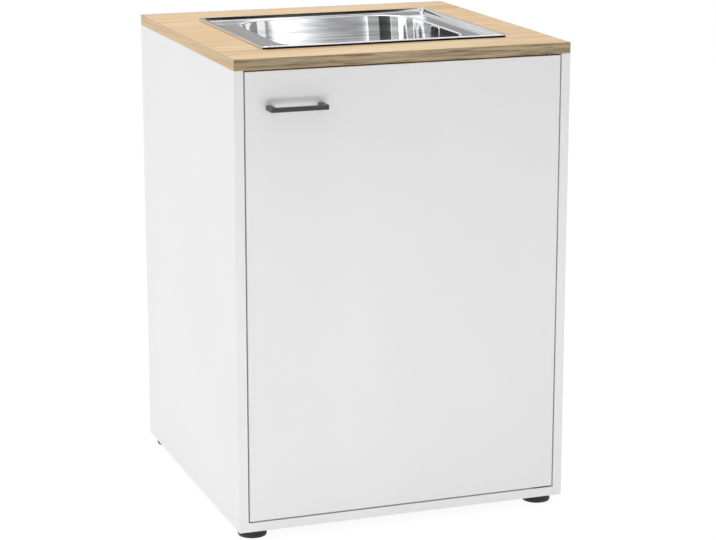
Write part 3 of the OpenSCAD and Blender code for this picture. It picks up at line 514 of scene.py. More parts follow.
def startTree(name, sizes):
    tree = bpy.data.node_groups.new(name, "GeometryNodeTree")
    tree.interface.new_socket("Shape", in_out="INPUT", socket_type="NodeSocketGeometry")
    kinds = {bool: "NodeSocketBool", int: "NodeSocketInt", float: "NodeSocketFloat"}
    for label, value in sizes.items():
        socket = tree.interface.new_socket(label, in_out="INPUT", socket_type=kinds[type(value)])
        socket.default_value = value
    tree.interface.new_socket("Shape", in_out="OUTPUT", socket_type="NodeSocketGeometry")
    return tree, addNode(tree, "NodeGroupInput").outputs


def endTree(tree, shape, finish):
    real = addNode(tree, "GeometryNodeRealizeInstances", {0: shape})
    painted = addNode(tree, "GeometryNodeSetMaterial", {0: real, "Material": finish})
    addNode(tree, "NodeGroupOutput", {0: painted})
    return tree


def cutAway(tree, shape, copies):  # the shape less all the copies
    loose = addNode(tree, "GeometryNodeRealizeInstances", {0: copies})
    both = {"Mesh 1": shape, "Mesh 2": loose}
    return addNode(tree, "GeometryNodeMeshBoolean", both, operation="DIFFERENCE")


def standInRing(tree, given, unit):  # copies in a ring about Z, each with its middle halfway from low to high
    circle = {"Resolution": given["count"], "Radius": given["ringRadius"]}
    ring = addNode(tree, "GeometryNodeCurvePrimitiveCircle", circle)
    copies = addNode(tree, "GeometryNodeInstanceOnPoints", {"Points": ring, "Instance": unit})
    both = addNode(tree, "ShaderNodeMath", {0: given["high"], 1: given["low"]}, operation="ADD")
    middle = addNode(tree, "ShaderNodeMath", {0: both, 1: 0.5}, operation="MULTIPLY")
    lift = addNode(tree, "ShaderNodeCombineXYZ", {2: middle})
    return addNode(tree, "GeometryNodeTransform", {0: copies, "Translation": lift})


def growPiece(name, mesh, tree, sizes, sharpFrom=mending["sharpFrom"], closed=False):
    # runs one tree on a mesh and keeps the result as a plain mesh
    piece = putInScene(name, mesh)
    growth = piece.modifiers.new("growth", "NODES")
    growth.node_group = tree
    for item in tree.interface.items_tree:
        if item.item_type == "SOCKET" and item.in_out == "INPUT" and item.name in sizes:
            growth[item.identifier] = sizes[item.name]
    bakeModifiers(piece)
    mendMesh(piece.data, mending["joinFine"], outwards=closed)
    roundShading(piece.data, sharpFrom)
    return piece


def pointCloud(name, places):  # places: (point, direction of the head)
    mesh = newMesh(name, [p for p, _ in places], [], [])
    axis = mesh.attributes.new("axis", "FLOAT_VECTOR", "POINT")
    for index, (_, direction) in enumerate(places):
        axis.data[index].vector = direction
    return mesh


# boards

boards = {  # finish and radius of the broken edges
    "left_side_panel": (whiteMelamine, 0.0006),
    "right_side_panel": (whiteMelamine, 0.0006),
    "bottom_panel": (whiteMelamine, 0.0006),
    "front_rail": (whiteMelamine, 0.0006),
    "rear_rail": (whiteMelamine, 0.0006),
    "back_panel": (whiteHardboard, 0.0003),
    "door_panel": (whiteDoorFoil, 0.0),
    "door_edge_band": (whiteDoorFoil, 0.0008),
    "worktop": (oakLaminate, 0.0003),
}
for nodeName, look in boards.items():
    dressNode(nodeName, *look)

edgeBand = {
    "radius": 0.0007,
    "reach": 0.0012,  # the front strip and a little more
    "topFrom": 0.7,  # a normal that points up this much belongs to the top
    "frontFrom": 0.3,
}


def finishEdgeBand():  # one strip round the top: print on top, darker strip in front, side strips elsewhere
    mesh = dressNode("worktop_edge_band", oakSideStrip, edgeBand["radius"]).data
    mesh.materials.append(oakFrontStrip)
    mesh.materials.append(oakLaminate)
    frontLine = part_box("worktop_edge_band")[0][1] + edgeBand["reach"]
    for face in mesh.polygons:
        if face.normal.z > edgeBand["topFrom"]:
            face.material_index = 2
        elif face.center.y < frontLine and face.normal.y < -edgeBand["frontFrom"]:
            face.material_index = 1


finishEdgeBand()
print("boards ready")

# sink

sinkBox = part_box("sink")
bowl = {
    "middle": Vector(((sinkBox[0][0] + sinkBox[1][0]) / 2, (sinkBox[0][1] + sinkBox[1][1]) / 2)),
    "rimWide": sinkBox[1][0] - sinkBox[0][0],
    "rimDeep": sinkBox[1][1] - sinkBox[0][1],
    "rimTop": sinkBox[1][2] + 0.002,  # a little higher than in the solids, so that more of the black seal shows under the front edge as painted shade
    "rimCorner": 0.009,
    "rimFlat": 0.007,
    "rimRound": 0.0008,  # round-over of the rim's outer edge
    "rimCrown": 0.0006,  # the rim is a little lower at its outer edge
    "lipFall": 0.0011,
    "sideLip": 0.0024,  # the edge comes down further at sides and rear, so the black seal shows in front only, as painted shade under the front edge
    "deckDrop": 0.007,
    "deckFillet": 0.0008,
    "mouthWide": 0.336,
    "mouthDeep": 0.346,
    "mouthCorner": 0.072,
    "mouthRound": 0.0025,
    "fall": 0.155,
    "footRadius": 0.028,
    "footTighten": 0.8,  # how much the corners tighten, as a share of how far the foot has come in
    "upright": 0.030,  # height of the straight band under the mouth of the side walls
    "leanWide": 0.004,  # how far the side walls lean in below it
    "flare": 0.062,  # height of the flared band of the front and rear walls
    "flareDeep": 0.0143,  # how far they lean in over that band, about 13 degrees
    "leanDeep": 0.016,  # how far they lean in down to the foot
    "recessCorner": 0.005,
    "recessTighten": 0.0005,  # how much tighter its corners get down to the deck
    "recessDeepLean": 0.0005,
    "recessWideLean": 0.0013,
    "innerRound": 0.0005,  # round-over of the rim's inner edge
    "hold": 0.0002,  # a ring this close to each bend keeps the flats flat in the shading
    "floorFall": 0.0012,
    "wasteHole": 0.088,
    "wasteSeat": 0.118,  # diameter of the flat that the waste flange sits on
    "sheet": 0.0009,
    "levelFrom": 0.9,  # a normal that points up or down this much belongs to a flat
}
overflow = {
    "middleY": 0.011,
    "middleZ": 0.8138,
    "fieldWide": 0.036,
    "plate": 0.0012,
    "plateWide": 0.043,
    "plateHigh": 0.024,
    "plateCorner": 0.005,
    "plateLow": 0.0002,  # how far its middle lies below that of the slots
    "edge": 0.0004,  # how far the plate's edge is turned over
}
slots = {  # the named sizes of their tree
    "slotCount": 5,
    "slotWide": 0.0036,
    "slotHigh": 0.018,
    "slotDeep": 0.008,
    "firstX": bowl["middle"].x + bowl["mouthWide"] / 2,
    "firstZ": overflow["middleZ"],
}
slotSpan = overflow["fieldWide"] - slots["slotWide"]  # from the middle of the first slot to that of the last
slots["firstY"] = overflow["middleY"] - slotSpan / 2
slots["pitch"] = slotSpan / (slots["slotCount"] - 1)


def roundedRing(wide, deep, corner, height, middle=bowl["middle"], cornerSteps=14, sideSteps=10):
    corner = min(corner, wide / 2 - 1e-5, deep / 2 - 1e-5)  # every side keeps a sliver of length
    arcs = []
    for sx, sy, start in ((1, 1, 0), (-1, 1, 90), (-1, -1, 180), (1, -1, 270)):
        centre = Vector((sx * (wide / 2 - corner), sy * (deep / 2 - corner)))
        turns = [radians(start + 90 * step / cornerSteps) for step in range(cornerSteps + 1)]
        arcs.append([centre + corner * Vector((cos(turn), sin(turn))) for turn in turns])
    ring = []
    for arc, following in zip(arcs, arcs[1:] + arcs[:1]):
        ring += arc + [arc[-1].lerp(following[0], step / sideSteps) for step in range(1, sideSteps)]
    return [(p.x + middle.x, p.y + middle.y, height) for p in ring]


def quarterTurn(steps):  # sine and cosine at each step of a right angle
    turns = [radians(90 * step / steps) for step in range(steps + 1)]
    return [(sin(turn), cos(turn)) for turn in turns]


def bowlRings():
    b = bowl
    top, hold, small = b["rimTop"], b["hold"], b["innerRound"]
    deck = top - b["deckDrop"]
    floor = deck - b["fall"]
    rings = []

    def rimRing(inset, height, corner, widePart=0.0):  # the recess leans in more at its left and right walls
        lean = widePart * (b["recessWideLean"] - b["recessDeepLean"])
        wide = b["rimWide"] - 2 * (inset + lean)
        rings.append(roundedRing(wide, b["rimDeep"] - 2 * inset, corner, height))

    edge, fillet, flat = b["rimRound"], b["deckFillet"], b["rimFlat"]
    outer = top - b["rimCrown"]
    rimRing(0.0, outer - b["lipFall"], b["rimCorner"])
    frontEnd = b["middle"].y - b["rimDeep"] / 2 + b["rimCorner"] / 2
    rings[0] = [(x, y, z if y < frontEnd else z - b["sideLip"]) for x, y, z in rings[0]]
    for sine, cosine in quarterTurn(8):  # rolled outer edge
        rimRing(edge - edge * cosine, outer - edge + edge * sine, b["rimCorner"])
    slope = b["rimCrown"] / (flat - edge - small)
    inner, tighten = b["recessCorner"], b["recessTighten"]
    rimRing(edge + hold, outer + slope * hold, b["rimCorner"])
    rimRing(flat - small - hold, top - slope * hold, inner)
    for sine, cosine in quarterTurn(4):  # inner edge of the rim
        rimRing(flat - small + small * sine, top - small + small * cosine, inner)
    wall = b["deckDrop"] - small - fillet  # height of the recess wall between its two bends
    for part in (hold / wall, 1 - hold / wall):
        rimRing(flat + b["recessDeepLean"] * part, top - small - wall * part, inner - tighten * 0.4, part)
    low = flat + b["recessDeepLean"] + fillet
    for sine, cosine in quarterTurn(7):  # fillet between recess wall and deck
        rimRing(low - fillet * cosine, deck + fillet - fillet * sine, inner - tighten, 1.0)

    def mouthRing(growWide, growDeep, height, corner):
        wide, deep = b["mouthWide"] + 2 * growWide, b["mouthDeep"] + 2 * growDeep
        rings.append(roundedRing(wide, deep, corner, height))

    mouth, roll = b["mouthCorner"], b["mouthRound"]
    rimRing(low + hold, deck, inner - tighten, 1.0)
    mouthRing(roll + hold, roll + hold, deck, mouth + roll)
    for sine, cosine in quarterTurn(6):  # rolled edge of the bowl's mouth
        grow = roll - roll * sine
        mouthRing(grow, grow, deck - roll * (1 - cosine), mouth + grow)
    foot, upright = b["footRadius"], b["upright"]
    wallTop = deck - roll
    tall = wallTop - (floor + foot)  # down to where the foot begins
    for part in (0.08, 0.16, 0.24, 0.32, 0.4, 0.5, 0.6, 0.7, 0.85, 1.0):
        down = tall * part
        side = max(0.0, (down - upright) / (tall - upright)) * b["leanWide"]
        past = max(0.0, (down - b["flare"]) / (tall - b["flare"]))
        deep = min(down / b["flare"], 1.0) * b["flareDeep"] + past * (b["leanDeep"] - b["flareDeep"])
        mouthRing(-side, -deep, wallTop - down, mouth)
    for step, (sine, cosine) in enumerate(quarterTurn(10)[1:], 1):  # swept foot between wall and floor
        inset = foot * (1 - cosine)
        height = floor + foot - foot * sine + b["floorFall"] * step / 10
        mouthRing(-b["leanWide"] - inset, -b["leanDeep"] - inset, height, mouth - inset * b["footTighten"])
    hole, seat = b["wasteHole"], b["wasteSeat"]
    wide = b["mouthWide"] - 2 * (b["leanWide"] + foot)
    deep = b["mouthDeep"] - 2 * (b["leanDeep"] + foot)
    corner = mouth - foot * b["footTighten"]
    for part in (0.25, 0.5, 0.75, 1.0):  # the floor falls to the round waste seat
        rings.append(roundedRing(
            wide + (seat - wide) * part,
            deep + (seat - deep) * part,
            corner + (seat / 2 - corner) * part,
            floor + b["floorFall"] * (1 - part),
        ))
    rings.append(roundedRing(hole, hole, hole / 2, floor))
    return rings


def slotTree(finish):  # a row of upright slots cut through whatever stands in their way, along Y
    tree, given = startTree("slotTree", slots)
    start = {0: given["firstX"], 1: given["firstY"], 2: given["firstZ"]}
    first = addNode(tree, "ShaderNodeCombineXYZ", start)
    step = addNode(tree, "ShaderNodeCombineXYZ", {1: given["pitch"]})
    line = {"Count": given["slotCount"], "Start Location": first, "Offset": step}
    row = addNode(tree, "GeometryNodeMeshLine", line)
    size = {0: given["slotDeep"], 1: given["slotWide"], 2: given["slotHigh"]}
    cutter = addNode(tree, "GeometryNodeMeshCube", {"Size": addNode(tree, "ShaderNodeCombineXYZ", size)})
    cutters = addNode(tree, "GeometryNodeInstanceOnPoints", {"Points": row, "Instance": cutter})
    cut = cutAway(tree, given["Shape"], cutters)
    # the cut drops the coordinates of the brush lines, so they are taken from the whole sheet again
    vector = {"data_type": "FLOAT_VECTOR"}
    held = addNode(tree, "GeometryNodeInputNamedAttribute", {"Name": "brushPlace"}, **vector)
    sample = {"Mesh": given["Shape"], "Value": held}
    near = addNode(tree, "GeometryNodeSampleNearestSurface", sample, **vector)
    stored = {"Geometry": cut, "Name": "brushPlace", "Value": near}
    kept = addNode(tree, "GeometryNodeStoreNamedAttribute", stored, domain="POINT", **vector)
    return endTree(tree, kept, finish)


def brushAlong(mesh):  # coordinates for the brush lines: level on the walls, from front to rear on the flats
    place = mesh.attributes.new("brushPlace", "FLOAT_VECTOR", "POINT")
    for point in mesh.vertices:
        x, y, z = point.co
        place.data[point.index].vector = (x, y, x if abs(point.normal.z) > bowl["levelFrom"] else z)


def pressSink():
    mesh = meshOfRows("pressedSheet", bowlRings())
    brushAlong(mesh)
    mesh.materials.append(brushedStainless)
    sheet = putInScene("pressedSheet", mesh)
    wall = sheet.modifiers.new("wall", "SOLIDIFY")
    wall.thickness = bowl["sheet"]
    bakeModifiers(sheet)
    solid = sheet.data
    bpy.data.objects.remove(sheet)
    enlist(growPiece("pressedSink", solid, slotTree(brushedStainless), slots, sharpFrom=40), "sink")


def stampOverflowPlate():  # small stamped cover with the same slots, its edge turned over
    edge, plate = overflow["edge"], overflow["plate"]
    middle = Vector((overflow["middleY"], overflow["middleZ"] - overflow["plateLow"]))
    rings = []
    for inset, rise in [(0.0, 0.0), (0.0, plate - edge), (edge * 0.3, plate - edge * 0.3), (edge, plate)]:
        wide, high = overflow["plateWide"] - 2 * inset, overflow["plateHigh"] - 2 * inset
        flat = roundedRing(wide, high, overflow["plateCorner"] - inset, 0, middle, 6, 2)
        rings.append([(slots["firstX"] - rise, y, z) for y, z, _ in flat])
    mesh = meshOfRows("overflowCover", rings, capped=True)
    mendMesh(mesh, outwards=True)
    piece = growPiece("overflowCover", mesh, slotTree(polishedStainless), slots, sharpFrom=25)
    enlist(piece, "overflow_plate")


seal = {
    "inset": 0.0015,
    "shadeLineProud": 0.0005,
    "shadeLineBand": 0.003,
    "profile": [(0, 0.1), (0, 2.4), (0.4, 3.1), (2.6, 3.2), (2.6, 0.1)],  # inset and height in millimetres
}


def laySeal():  # foam strip under the rim, pressed out a little along the front, where its black is painted shade for the shadow gap under the rim
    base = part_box("worktop")[1][2]
    frontEdge = bowl["middle"].y - bowl["rimDeep"] / 2 + seal["inset"] + seal["shadeLineBand"]
    rings = []
    for inset, rise in seal["profile"]:
        turned = seal["inset"] + inset / 1000
        size = bowl["rimWide"] - 2 * turned, bowl["rimDeep"] - 2 * turned
        ring = roundedRing(*size, bowl["rimCorner"] - turned, base + rise / 1000)
        # the front band is pushed out so that the black foam shows as a painted shade line under the rim's
        # front edge
        push = seal["inset"] + seal["shadeLineProud"] if inset < 1 else 0.0
        rings.append([(x, y - push if y < frontEdge else y, z) for x, y, z in ring])
    mesh = meshOfRows("foamSeal", rings, around=True)
    mendMesh(mesh, outwards=True)
    roundShading(mesh, sharpFrom=40)
    mesh.materials.append(sealingFoam)
    enlist(putInScene("foamSeal", mesh), "sink_seal")


pressSink()
stampOverflowPlate()
laySeal()
dressNode("sink_clamps", zincPlate, 0.0003)
print("sink ready")

# waste and trap


def holeTree(finish):  # round holes in rings about Z, cut through the shape
    sizes = {"count": 8, "holeRadius": 0.0018, "ringRadius": 0.010, "low": 0.0, "high": 0.01}
    tree, given = startTree("holeTree", sizes)
    long = addNode(tree, "ShaderNodeMath", {0: given["high"], 1: given["low"]}, operation="SUBTRACT")
    bore = {"Vertices": 20, "Radius": given["holeRadius"], "Depth": long}
    drill = addNode(tree, "GeometryNodeMeshCylinder", bore)
    return endTree(tree, cutAway(tree, given["Shape"], standInRing(tree, given, drill)), finish)


strainer = {
    "z": 0.6323,
    "y": 0.005,
    "profile": [
        (0, 0), (25.5, 0), (26.8, 0.5), (31.6, 5.3), (32, 6.4), (33, 24.4), (33.4, 24.8), (37.6, 24.8),
        (38, 25.2), (38, 25.7), (37.7, 26), (32.2, 26), (31.8, 25.5), (30.8, 6.6), (30.2, 5.8),
        (25.6, 1.3), (25, 1.2), (3.8, 1.2), (3.5, 1.6), (3.5, 23.5), (5.5, 25.2), (9.2, 27.6),
        (10, 28.5), (9.9, 29.5), (9.2, 30), (4, 29.8), (0, 29.6),
    ],
    "rings": [(8, 0.010), (12, 0.0195)],
    "holes": {"holeRadius": 0.0018, "low": -0.002, "high": 0.0035},
}


def makeStrainer():
    mesh = turnedMesh("perforatedBasket", strainer["profile"], 72)
    tree = holeTree(polishedStainless)
    for count, radius in strainer["rings"]:
        sizes = strainer["holes"] | {"count": count, "ringRadius": radius}
        piece = growPiece("perforatedBasket", mesh, tree, sizes)
        mesh = piece.data
        bpy.data.objects.remove(piece)
    mesh.transform(Matrix.Translation((0, strainer["y"], strainer["z"])))
    enlist(putInScene("perforatedBasket", mesh), "basket_strainer")


def ribTree(finish):  # grip ribs round a turned cap, each with a flattened knob at its upper end
    sizes = {"count": 12, "ribRadius": 0.0025, "ringRadius": 0.028, "low": 0.0, "high": 0.019}
    tree, given = startTree("ribTree", sizes)
    radius = given["ribRadius"]
    long = addNode(tree, "ShaderNodeMath", {0: given["high"], 1: given["low"]}, operation="SUBTRACT")
    staff = addNode(tree, "GeometryNodeMeshCylinder", {"Vertices": 14, "Radius": radius, "Depth": long})
    small = addNode(tree, "ShaderNodeMath", {0: radius, 1: 0.98}, operation="MULTIPLY")
    knob = addNode(tree, "GeometryNodeMeshUVSphere", {"Segments": 14, "Rings": 8, "Radius": small})
    half = addNode(tree, "ShaderNodeMath", {0: long, 1: 0.5}, operation="MULTIPLY")
    lift = addNode(tree, "ShaderNodeCombineXYZ", {2: half})
    crown = addNode(tree, "GeometryNodeTransform", {0: knob, "Translation": lift, "Scale": (1, 1, 0.6)})
    rib = addNode(tree, "GeometryNodeJoinGeometry", {0: [staff, crown]})
    whole = addNode(tree, "GeometryNodeJoinGeometry", {0: [given["Shape"], standInRing(tree, given, rib)]})
    return endTree(tree, whole, finish)


unionNut = {
    "profile": [
        (20.1, 0.6), (20.7, 0), (26.2, 0), (27.5, 0.6), (28, 1.8), (28, 21.2), (27.5, 22), (23.7, 22),
        (23.1, 21.5), (23.1, 6.2), (22.8, 6), (20.1, 6),
    ],
    "ribs": {"count": 12, "ribRadius": 0.0024, "ringRadius": 0.0281, "low": 0.0012, "high": 0.0178},
    "places": {
        "waste_nut": Matrix.Translation((0, 0.005, 0.5748)),
        "trap_inlet_nut": Matrix.Translation((0, 0.005, 0.5528)) @ Matrix.Rotation(pi, 4, "X"),
        "trap_outlet_nut": Matrix.Translation((0, 0.078, 0.4948)) @ Matrix.Rotation(pi / 2, 4, "X"),
    },
}
trapCup = {
    "place": Matrix.Translation((0, 0.005, 0.3618)),
    "profile": [
        (0, 0), (26.2, 0), (29.2, 0.9), (32.2, 3.1), (33.6, 5.8), (34, 9), (34, 89.8), (34.6, 90.3),
        (36.6, 90.9), (37, 91.6), (37, 106.4), (36.4, 107), (34.5, 107), (34.1, 106.5), (34.1, 95),
        (31.5, 95), (31.5, 8.5), (30.8, 6.2), (26.2, 2.8), (24.5, 2.5), (0, 2.5),
    ],
    "ribs": {"count": 10, "ribRadius": 0.0022, "ringRadius": 0.0357, "low": 0.0105, "high": 0.1},
}


def makeNutsAndCup():
    tree = ribTree(whitePolypropylene)
    for nodeName, place in unionNut["places"].items():
        mesh = turnedMesh(nodeName + "Turned", unionNut["profile"], hollow=True)
        piece = growPiece(nodeName + "Ribbed", mesh, tree, unionNut["ribs"])
        piece.data.transform(place)
        enlist(piece, nodeName)
    mesh = turnedMesh("trapCupTurned", trapCup["profile"], 72)
    piece = growPiece("trapCupRibbed", mesh, tree, trapCup["ribs"])
    piece.data.transform(trapCup["place"])
    enlist(piece, "trap_cup")


hose = {
    "start": (0.1819, 0.011, 0.8015),
    "wasteMiddle": (0.0, 0.005, 0.6308),
    "bend": 0.030,
    "end": 0.0456,  # distance from the middle of the waste where it is pushed on its spigot
    "tube": {"radius": 0.0108, "wave": 0.05, "pitch": 0.0042},  # wave: depth as a share of the radius
    "wall": 0.0012,
    "middleScale": 0.95,  # so that the crests of the waves come up to the radius
    "ringsPerWave": 8,
}


def hoseTree(finish):  # a corrugated tube along the path
    tree, given = startTree("hoseTree", hose["tube"])
    pitch = given["pitch"]
    path = addNode(tree, "GeometryNodeMeshToCurve", {0: given["Shape"]})
    span = addNode(tree, "ShaderNodeMath", {0: pitch, 1: hose["ringsPerWave"]}, operation="DIVIDE")
    fine = addNode(tree, "GeometryNodeResampleCurve", {0: path, "Length": span}, mode="LENGTH")
    along = addNode(tree, "GeometryNodeSplineParameter").outputs["Length"]
    turns = addNode(tree, "ShaderNodeMath", {0: along, 1: pitch}, operation="DIVIDE")
    angle = addNode(tree, "ShaderNodeMath", {0: turns, 1: 2 * pi}, operation="MULTIPLY")
    swell = addNode(tree, "ShaderNodeMath", {0: angle}, operation="SINE")
    waves = {0: swell, 1: given["wave"], 2: hose["middleScale"]}
    scale = addNode(tree, "ShaderNodeMath", waves, operation="MULTIPLY_ADD")
    ring = addNode(tree, "GeometryNodeCurvePrimitiveCircle", {"Resolution": 24, "Radius": given["radius"]})
    tube = addNode(tree, "GeometryNodeCurveToMesh", {"Curve": fine, "Profile Curve": ring, "Scale": scale})
    return endTree(tree, tube, finish)


def makeHose():
    start, middle = Vector(hose["start"]), Vector(hose["wasteMiddle"])
    out = Vector((start.x - middle.x, start.y - middle.y, 0))
    run, out = out.length, out.normalized()
    bend = hose["bend"]
    points = [start]
    corner = middle + out * (run - bend) + Vector((0, 0, bend))
    for sine, cosine in quarterTurn(16):
        points.append(corner + out * bend * cosine - Vector((0, 0, bend * sine)))
    points.append(middle + out * hose["end"])
    mesh = newMesh("hosePath", points, [(i, i + 1) for i in range(len(points) - 1)], [])
    tree = hoseTree(greyPolyethylene)
    piece = growPiece("corrugatedHose", mesh, tree, hose["tube"], sharpFrom=70, closed=True)
    wall = piece.modifiers.new("wall", "SOLIDIFY")
    wall.thickness = hose["wall"]
    bakeModifiers(piece)
    enlist(piece, "overflow_hose")


makeStrainer()
makeNutsAndCup()
makeHose()
dressNode("waste_flange", polishedStainless, 0.0002)
dressNode("waste_gasket", pressedRubber, 0.0004)
for nodeName in ("waste_cup", "trap_inlet_pipe", "trap_body", "trap_outlet_pipe"):
    dressNode(nodeName, whitePolypropylene, 0.0006)
dressNode("overflow_elbow", greyPolyethylene, 0.0006)
print("waste and trap ready")

# screws


def screwTree(finish):
    # pan head with a cross recess, a helical thread and a point; origin under the head, head along +Z
    sizes = {"shankRadius": 0.0012, "shankLength": 0.012, "headRadius": 0.003, "headHeight": 0.002,
             "threadPitch": 0.0011, "pointed": True, "padRadius": 0.0, "padHeight": 0.0, "padded": False}
    tree, given = startTree("screwTree", sizes)
    long, high = given["shankLength"], given["headHeight"]
    shares = {  # what follows from the named sizes, each as a share of one of them
        "core": ("shankRadius", 0.84),
        "crest": ("shankRadius", 0.16),
        "point": ("shankRadius", 1.6),
        "wound": ("shankLength", 0.86),
        "shankDown": ("shankLength", -0.5),
        "threadDown": ("shankLength", -0.97),
        "tipDown": ("shankLength", -1.0),
        "brow": ("headRadius", 0.74),
        "armLong": ("headRadius", 1.1),
        "armWide": ("headRadius", 0.24),
        "padHalf": ("padHeight", -0.5),
    }
    part = {
        name: addNode(tree, "ShaderNodeMath", {0: given[size], 1: share}, operation="MULTIPLY")
        for name, (size, share) in shares.items()
    }
    core, wound = part["core"], part["wound"]

    shank = addNode(tree, "GeometryNodeMeshCylinder", {"Vertices": 16, "Radius": core, "Depth": long})
    turns = addNode(tree, "ShaderNodeMath", {0: wound, 1: given["threadPitch"]}, operation="DIVIDE")
    spiral = {"Resolution": 12, "Rotations": turns, "Start Radius": core, "End Radius": core, "Height": wound}
    helix = addNode(tree, "GeometryNodeCurveSpiral", spiral)
    ridge = addNode(tree, "GeometryNodeCurvePrimitiveCircle", {"Resolution": 4, "Radius": part["crest"]})
    swept = {"Curve": helix, "Profile Curve": ridge, "Fill Caps": True}
    thread = addNode(tree, "GeometryNodeCurveToMesh", swept)
    point = {"Vertices": 16, "Radius Top": 0.0, "Radius Bottom": core, "Depth": part["point"]}
    tip = addNode(tree, "GeometryNodeMeshCone", point)
    disc = {"Vertices": 28, "Radius": given["padRadius"], "Depth": given["padHeight"]}
    pad = addNode(tree, "GeometryNodeMeshCylinder", disc)
    padDown = addNode(tree, "ShaderNodeMath", {0: part["padHalf"], 1: long}, operation="SUBTRACT")

    dome = {"Vertices": 28, "Radius Top": part["brow"], "Radius Bottom": given["headRadius"], "Depth": high}
    head = addNode(tree, "GeometryNodeMeshCone", dome)
    armSize = addNode(tree, "ShaderNodeCombineXYZ", {0: part["armLong"], 1: part["armWide"], 2: high})
    arm = addNode(tree, "GeometryNodeMeshCube", {"Size": armSize})
    quarter = addNode(tree, "GeometryNodeTransform", {0: arm, "Rotation": (0, 0, pi / 2)})
    cross = addNode(tree, "GeometryNodeMeshBoolean", {"Mesh 2": [arm, quarter]}, operation="UNION")
    lift = addNode(tree, "ShaderNodeCombineXYZ", {2: high})
    crossUp = addNode(tree, "GeometryNodeTransform", {0: cross, "Translation": lift})
    parts = {"Mesh 1": head, "Mesh 2": crossUp}
    recessed = addNode(tree, "GeometryNodeMeshBoolean", parts, operation="DIFFERENCE")

    hung = []
    for shape, down, turn, wanted in (  # what hangs below the head, how far, how turned, and its switch
        (shank, part["shankDown"], 0, None),
        (thread, part["threadDown"], 0, None),
        (tip, part["tipDown"], pi, "pointed"),
        (pad, padDown, 0, "padded"),
    ):
        place = addNode(tree, "ShaderNodeCombineXYZ", {2: down})
        moved = {0: shape, "Translation": place, "Rotation": (turn, 0, 0)}
        lowered = addNode(tree, "GeometryNodeTransform", moved)
        if wanted:
            choice = {"Switch": given[wanted], "True": lowered}
            lowered = addNode(tree, "GeometryNodeSwitch", choice, input_type="GEOMETRY")
        hung.append(lowered)

    screw = addNode(tree, "GeometryNodeJoinGeometry", {0: [*hung[:2], recessed, *hung[2:]]})
    axis = addNode(tree, "GeometryNodeInputNamedAttribute", {"Name": "axis"}, data_type="FLOAT_VECTOR")
    facing = addNode(tree, "FunctionNodeAlignRotationToVector", {"Vector": axis}, axis="Z")
    spread = {"Points": given["Shape"], "Instance": screw, "Rotation": facing}
    return endTree(tree, addNode(tree, "GeometryNodeInstanceOnPoints", spread), finish)


up, down, left, right, rear = (0, 0, 1), (0, 0, -1), (-1, 0, 0), (1, 0, 0), (0, 1, 0)
screwSizes = (  # in the order of the numbers below, which are millimetres
    "shankRadius", "shankLength", "headRadius", "headHeight", "threadPitch", "padRadius", "padHeight"
)
screws = {
    "bracket_screws": {
        "places": [
            place
            for side in (-1, 1)
            for y in (-0.210, 0.220)
            for place in (
                ((side * (0.284 - 0.01736), y, 0.809), down),
                ((side * 0.282, y, 0.79364), left if side > 0 else right),
            )
        ],
        "sizes": (1.25, 10, 3.25, 2, 1.1),
    },
    "clamp_screws": {
        "places": [
            ((side * 0.224, y, 0.802), down) for side in (-1, 1) for y in (-0.13252, -0.03702, 0.14252)
        ],
        "sizes": (2, 7.1, 4, 3, 0.9, 4.5, 1.8),
        "ends": {"pointed": False, "padded": True},
    },
    "handle_screws": {
        "places": [((-0.1959 + side * 0.045, -0.269, 0.748), rear) for side in (-1, 1)],
        "sizes": (1.7, 28, 4, 2.2, 0.8),
        "ends": {"pointed": False},
    },
    "strike_screws": {
        "places": [((-0.2754, -0.268, z + side * 0.01188), rear) for z in (0.110, 0.671) for side in (-1, 1)],
        "sizes": (1.2, 7.5, 1.9, 0.15, 1),
    },
    "pivot_screws": {
        "places": [
            ((0.264 + side * 0.0125, -0.2785, z), way)
            for side in (-1, 1)
            for z, way in ((0.032, up), (0.811, down))
        ],
        "sizes": (1.25, 10, 2.7, 0.9, 1.1),
    },
    "catch_screws": {
        "places": [((-0.270, -0.2602, z + side * 0.015), right) for z in (0.110, 0.671) for side in (-1, 1)],
        "sizes": (1.6, 21.5, 3, 1.6, 1.3),
    },
}


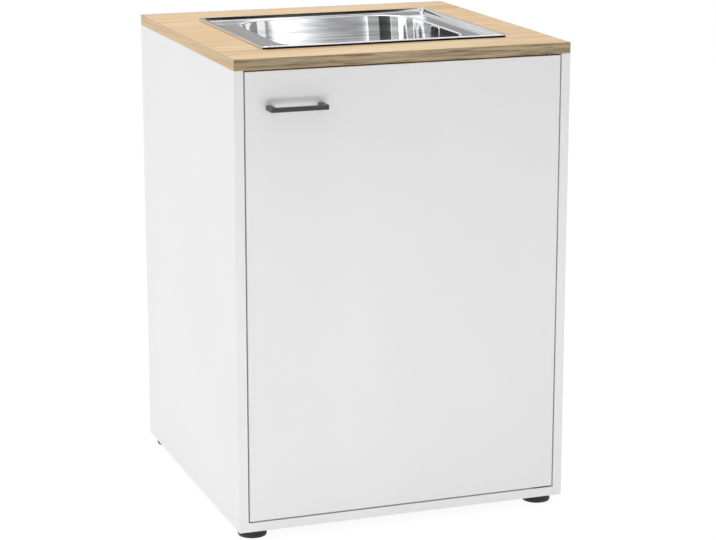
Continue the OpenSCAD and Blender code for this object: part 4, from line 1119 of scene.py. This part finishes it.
def makeScrews():
    tree = screwTree(zincPlate)
    for nodeName, screw in screws.items():
        sizes = {name: size / 1000 for name, size in zip(screwSizes, screw["sizes"])}
        points = pointCloud(nodeName + "Points", screw["places"])
        piece = growPiece(nodeName + "Threaded", points, tree, sizes | screw.get("ends", {}))
        enlist(piece, nodeName)


makeScrews()
print("screws ready")

# handle, catches, pivots and inner hardware

hardware = {  # finish, radius of the broken edges and, where it isn't 2, its segments
    "handle": (anthraciteCoat, 0.0009, 3),
    "cam_locks": (zincPlate, 0.00012, 1),
    "cam_bolts": (zincPlate, 0.00012, 1),
    "worktop_brackets": (zincPlate, 0.00012, 1),
    "strike_plates": (zincPlate, 0.00012, 1),
    "lower_pivot": (zincPlate, 0.00012, 1),
    "upper_pivot": (zincPlate, 0.00012, 1),
    "wood_dowels": (turnedBeech, 0.0005),
    "door_bushes": (blackPolypropylene, 0.0002),
    "magnetic_catches": (naturalNylon, 0.0006),
    "catch_magnets": (sinteredFerrite, 0.0003),
    "foot_sockets": (naturalNylon, 0.0003),
}
for nodeName, look in hardware.items():
    dressNode(nodeName, *look)
print("hardware ready")

# levelling feet

foot = {
    "profile": [
        (0, 0), (23.8, 0), (24.6, 0.2), (25, 1), (25, 4.6), (24.7, 5.5), (23.7, 6.2), (23.5, 6.8),
        (23.5, 14.3), (22.9, 15), (5.2, 15), (5, 15.4), (5, 30.7), (4.3, 31.5), (0, 31.5),
    ],
    "grips": {"count": 16, "holeRadius": 0.0021, "ringRadius": 0.0253, "low": 0.0068, "high": 0.02},
    "places": {
        "front_left_foot": (-0.267, -0.250),
        "front_right_foot": (0.267, -0.250),
        "rear_left_foot": (-0.267, 0.287),
        "rear_right_foot": (0.267, 0.287),
    },
}


def makeFeet():
    tree = holeTree(blackPolypropylene)
    for nodeName, (x, y) in foot["places"].items():
        mesh = turnedMesh(nodeName + "Turned", foot["profile"])
        piece = growPiece(nodeName + "Gripped", mesh, tree, foot["grips"])
        piece.data.transform(Matrix.Translation((x, y, 0)))
        enlist(piece, nodeName)


makeFeet()
print("feet ready")
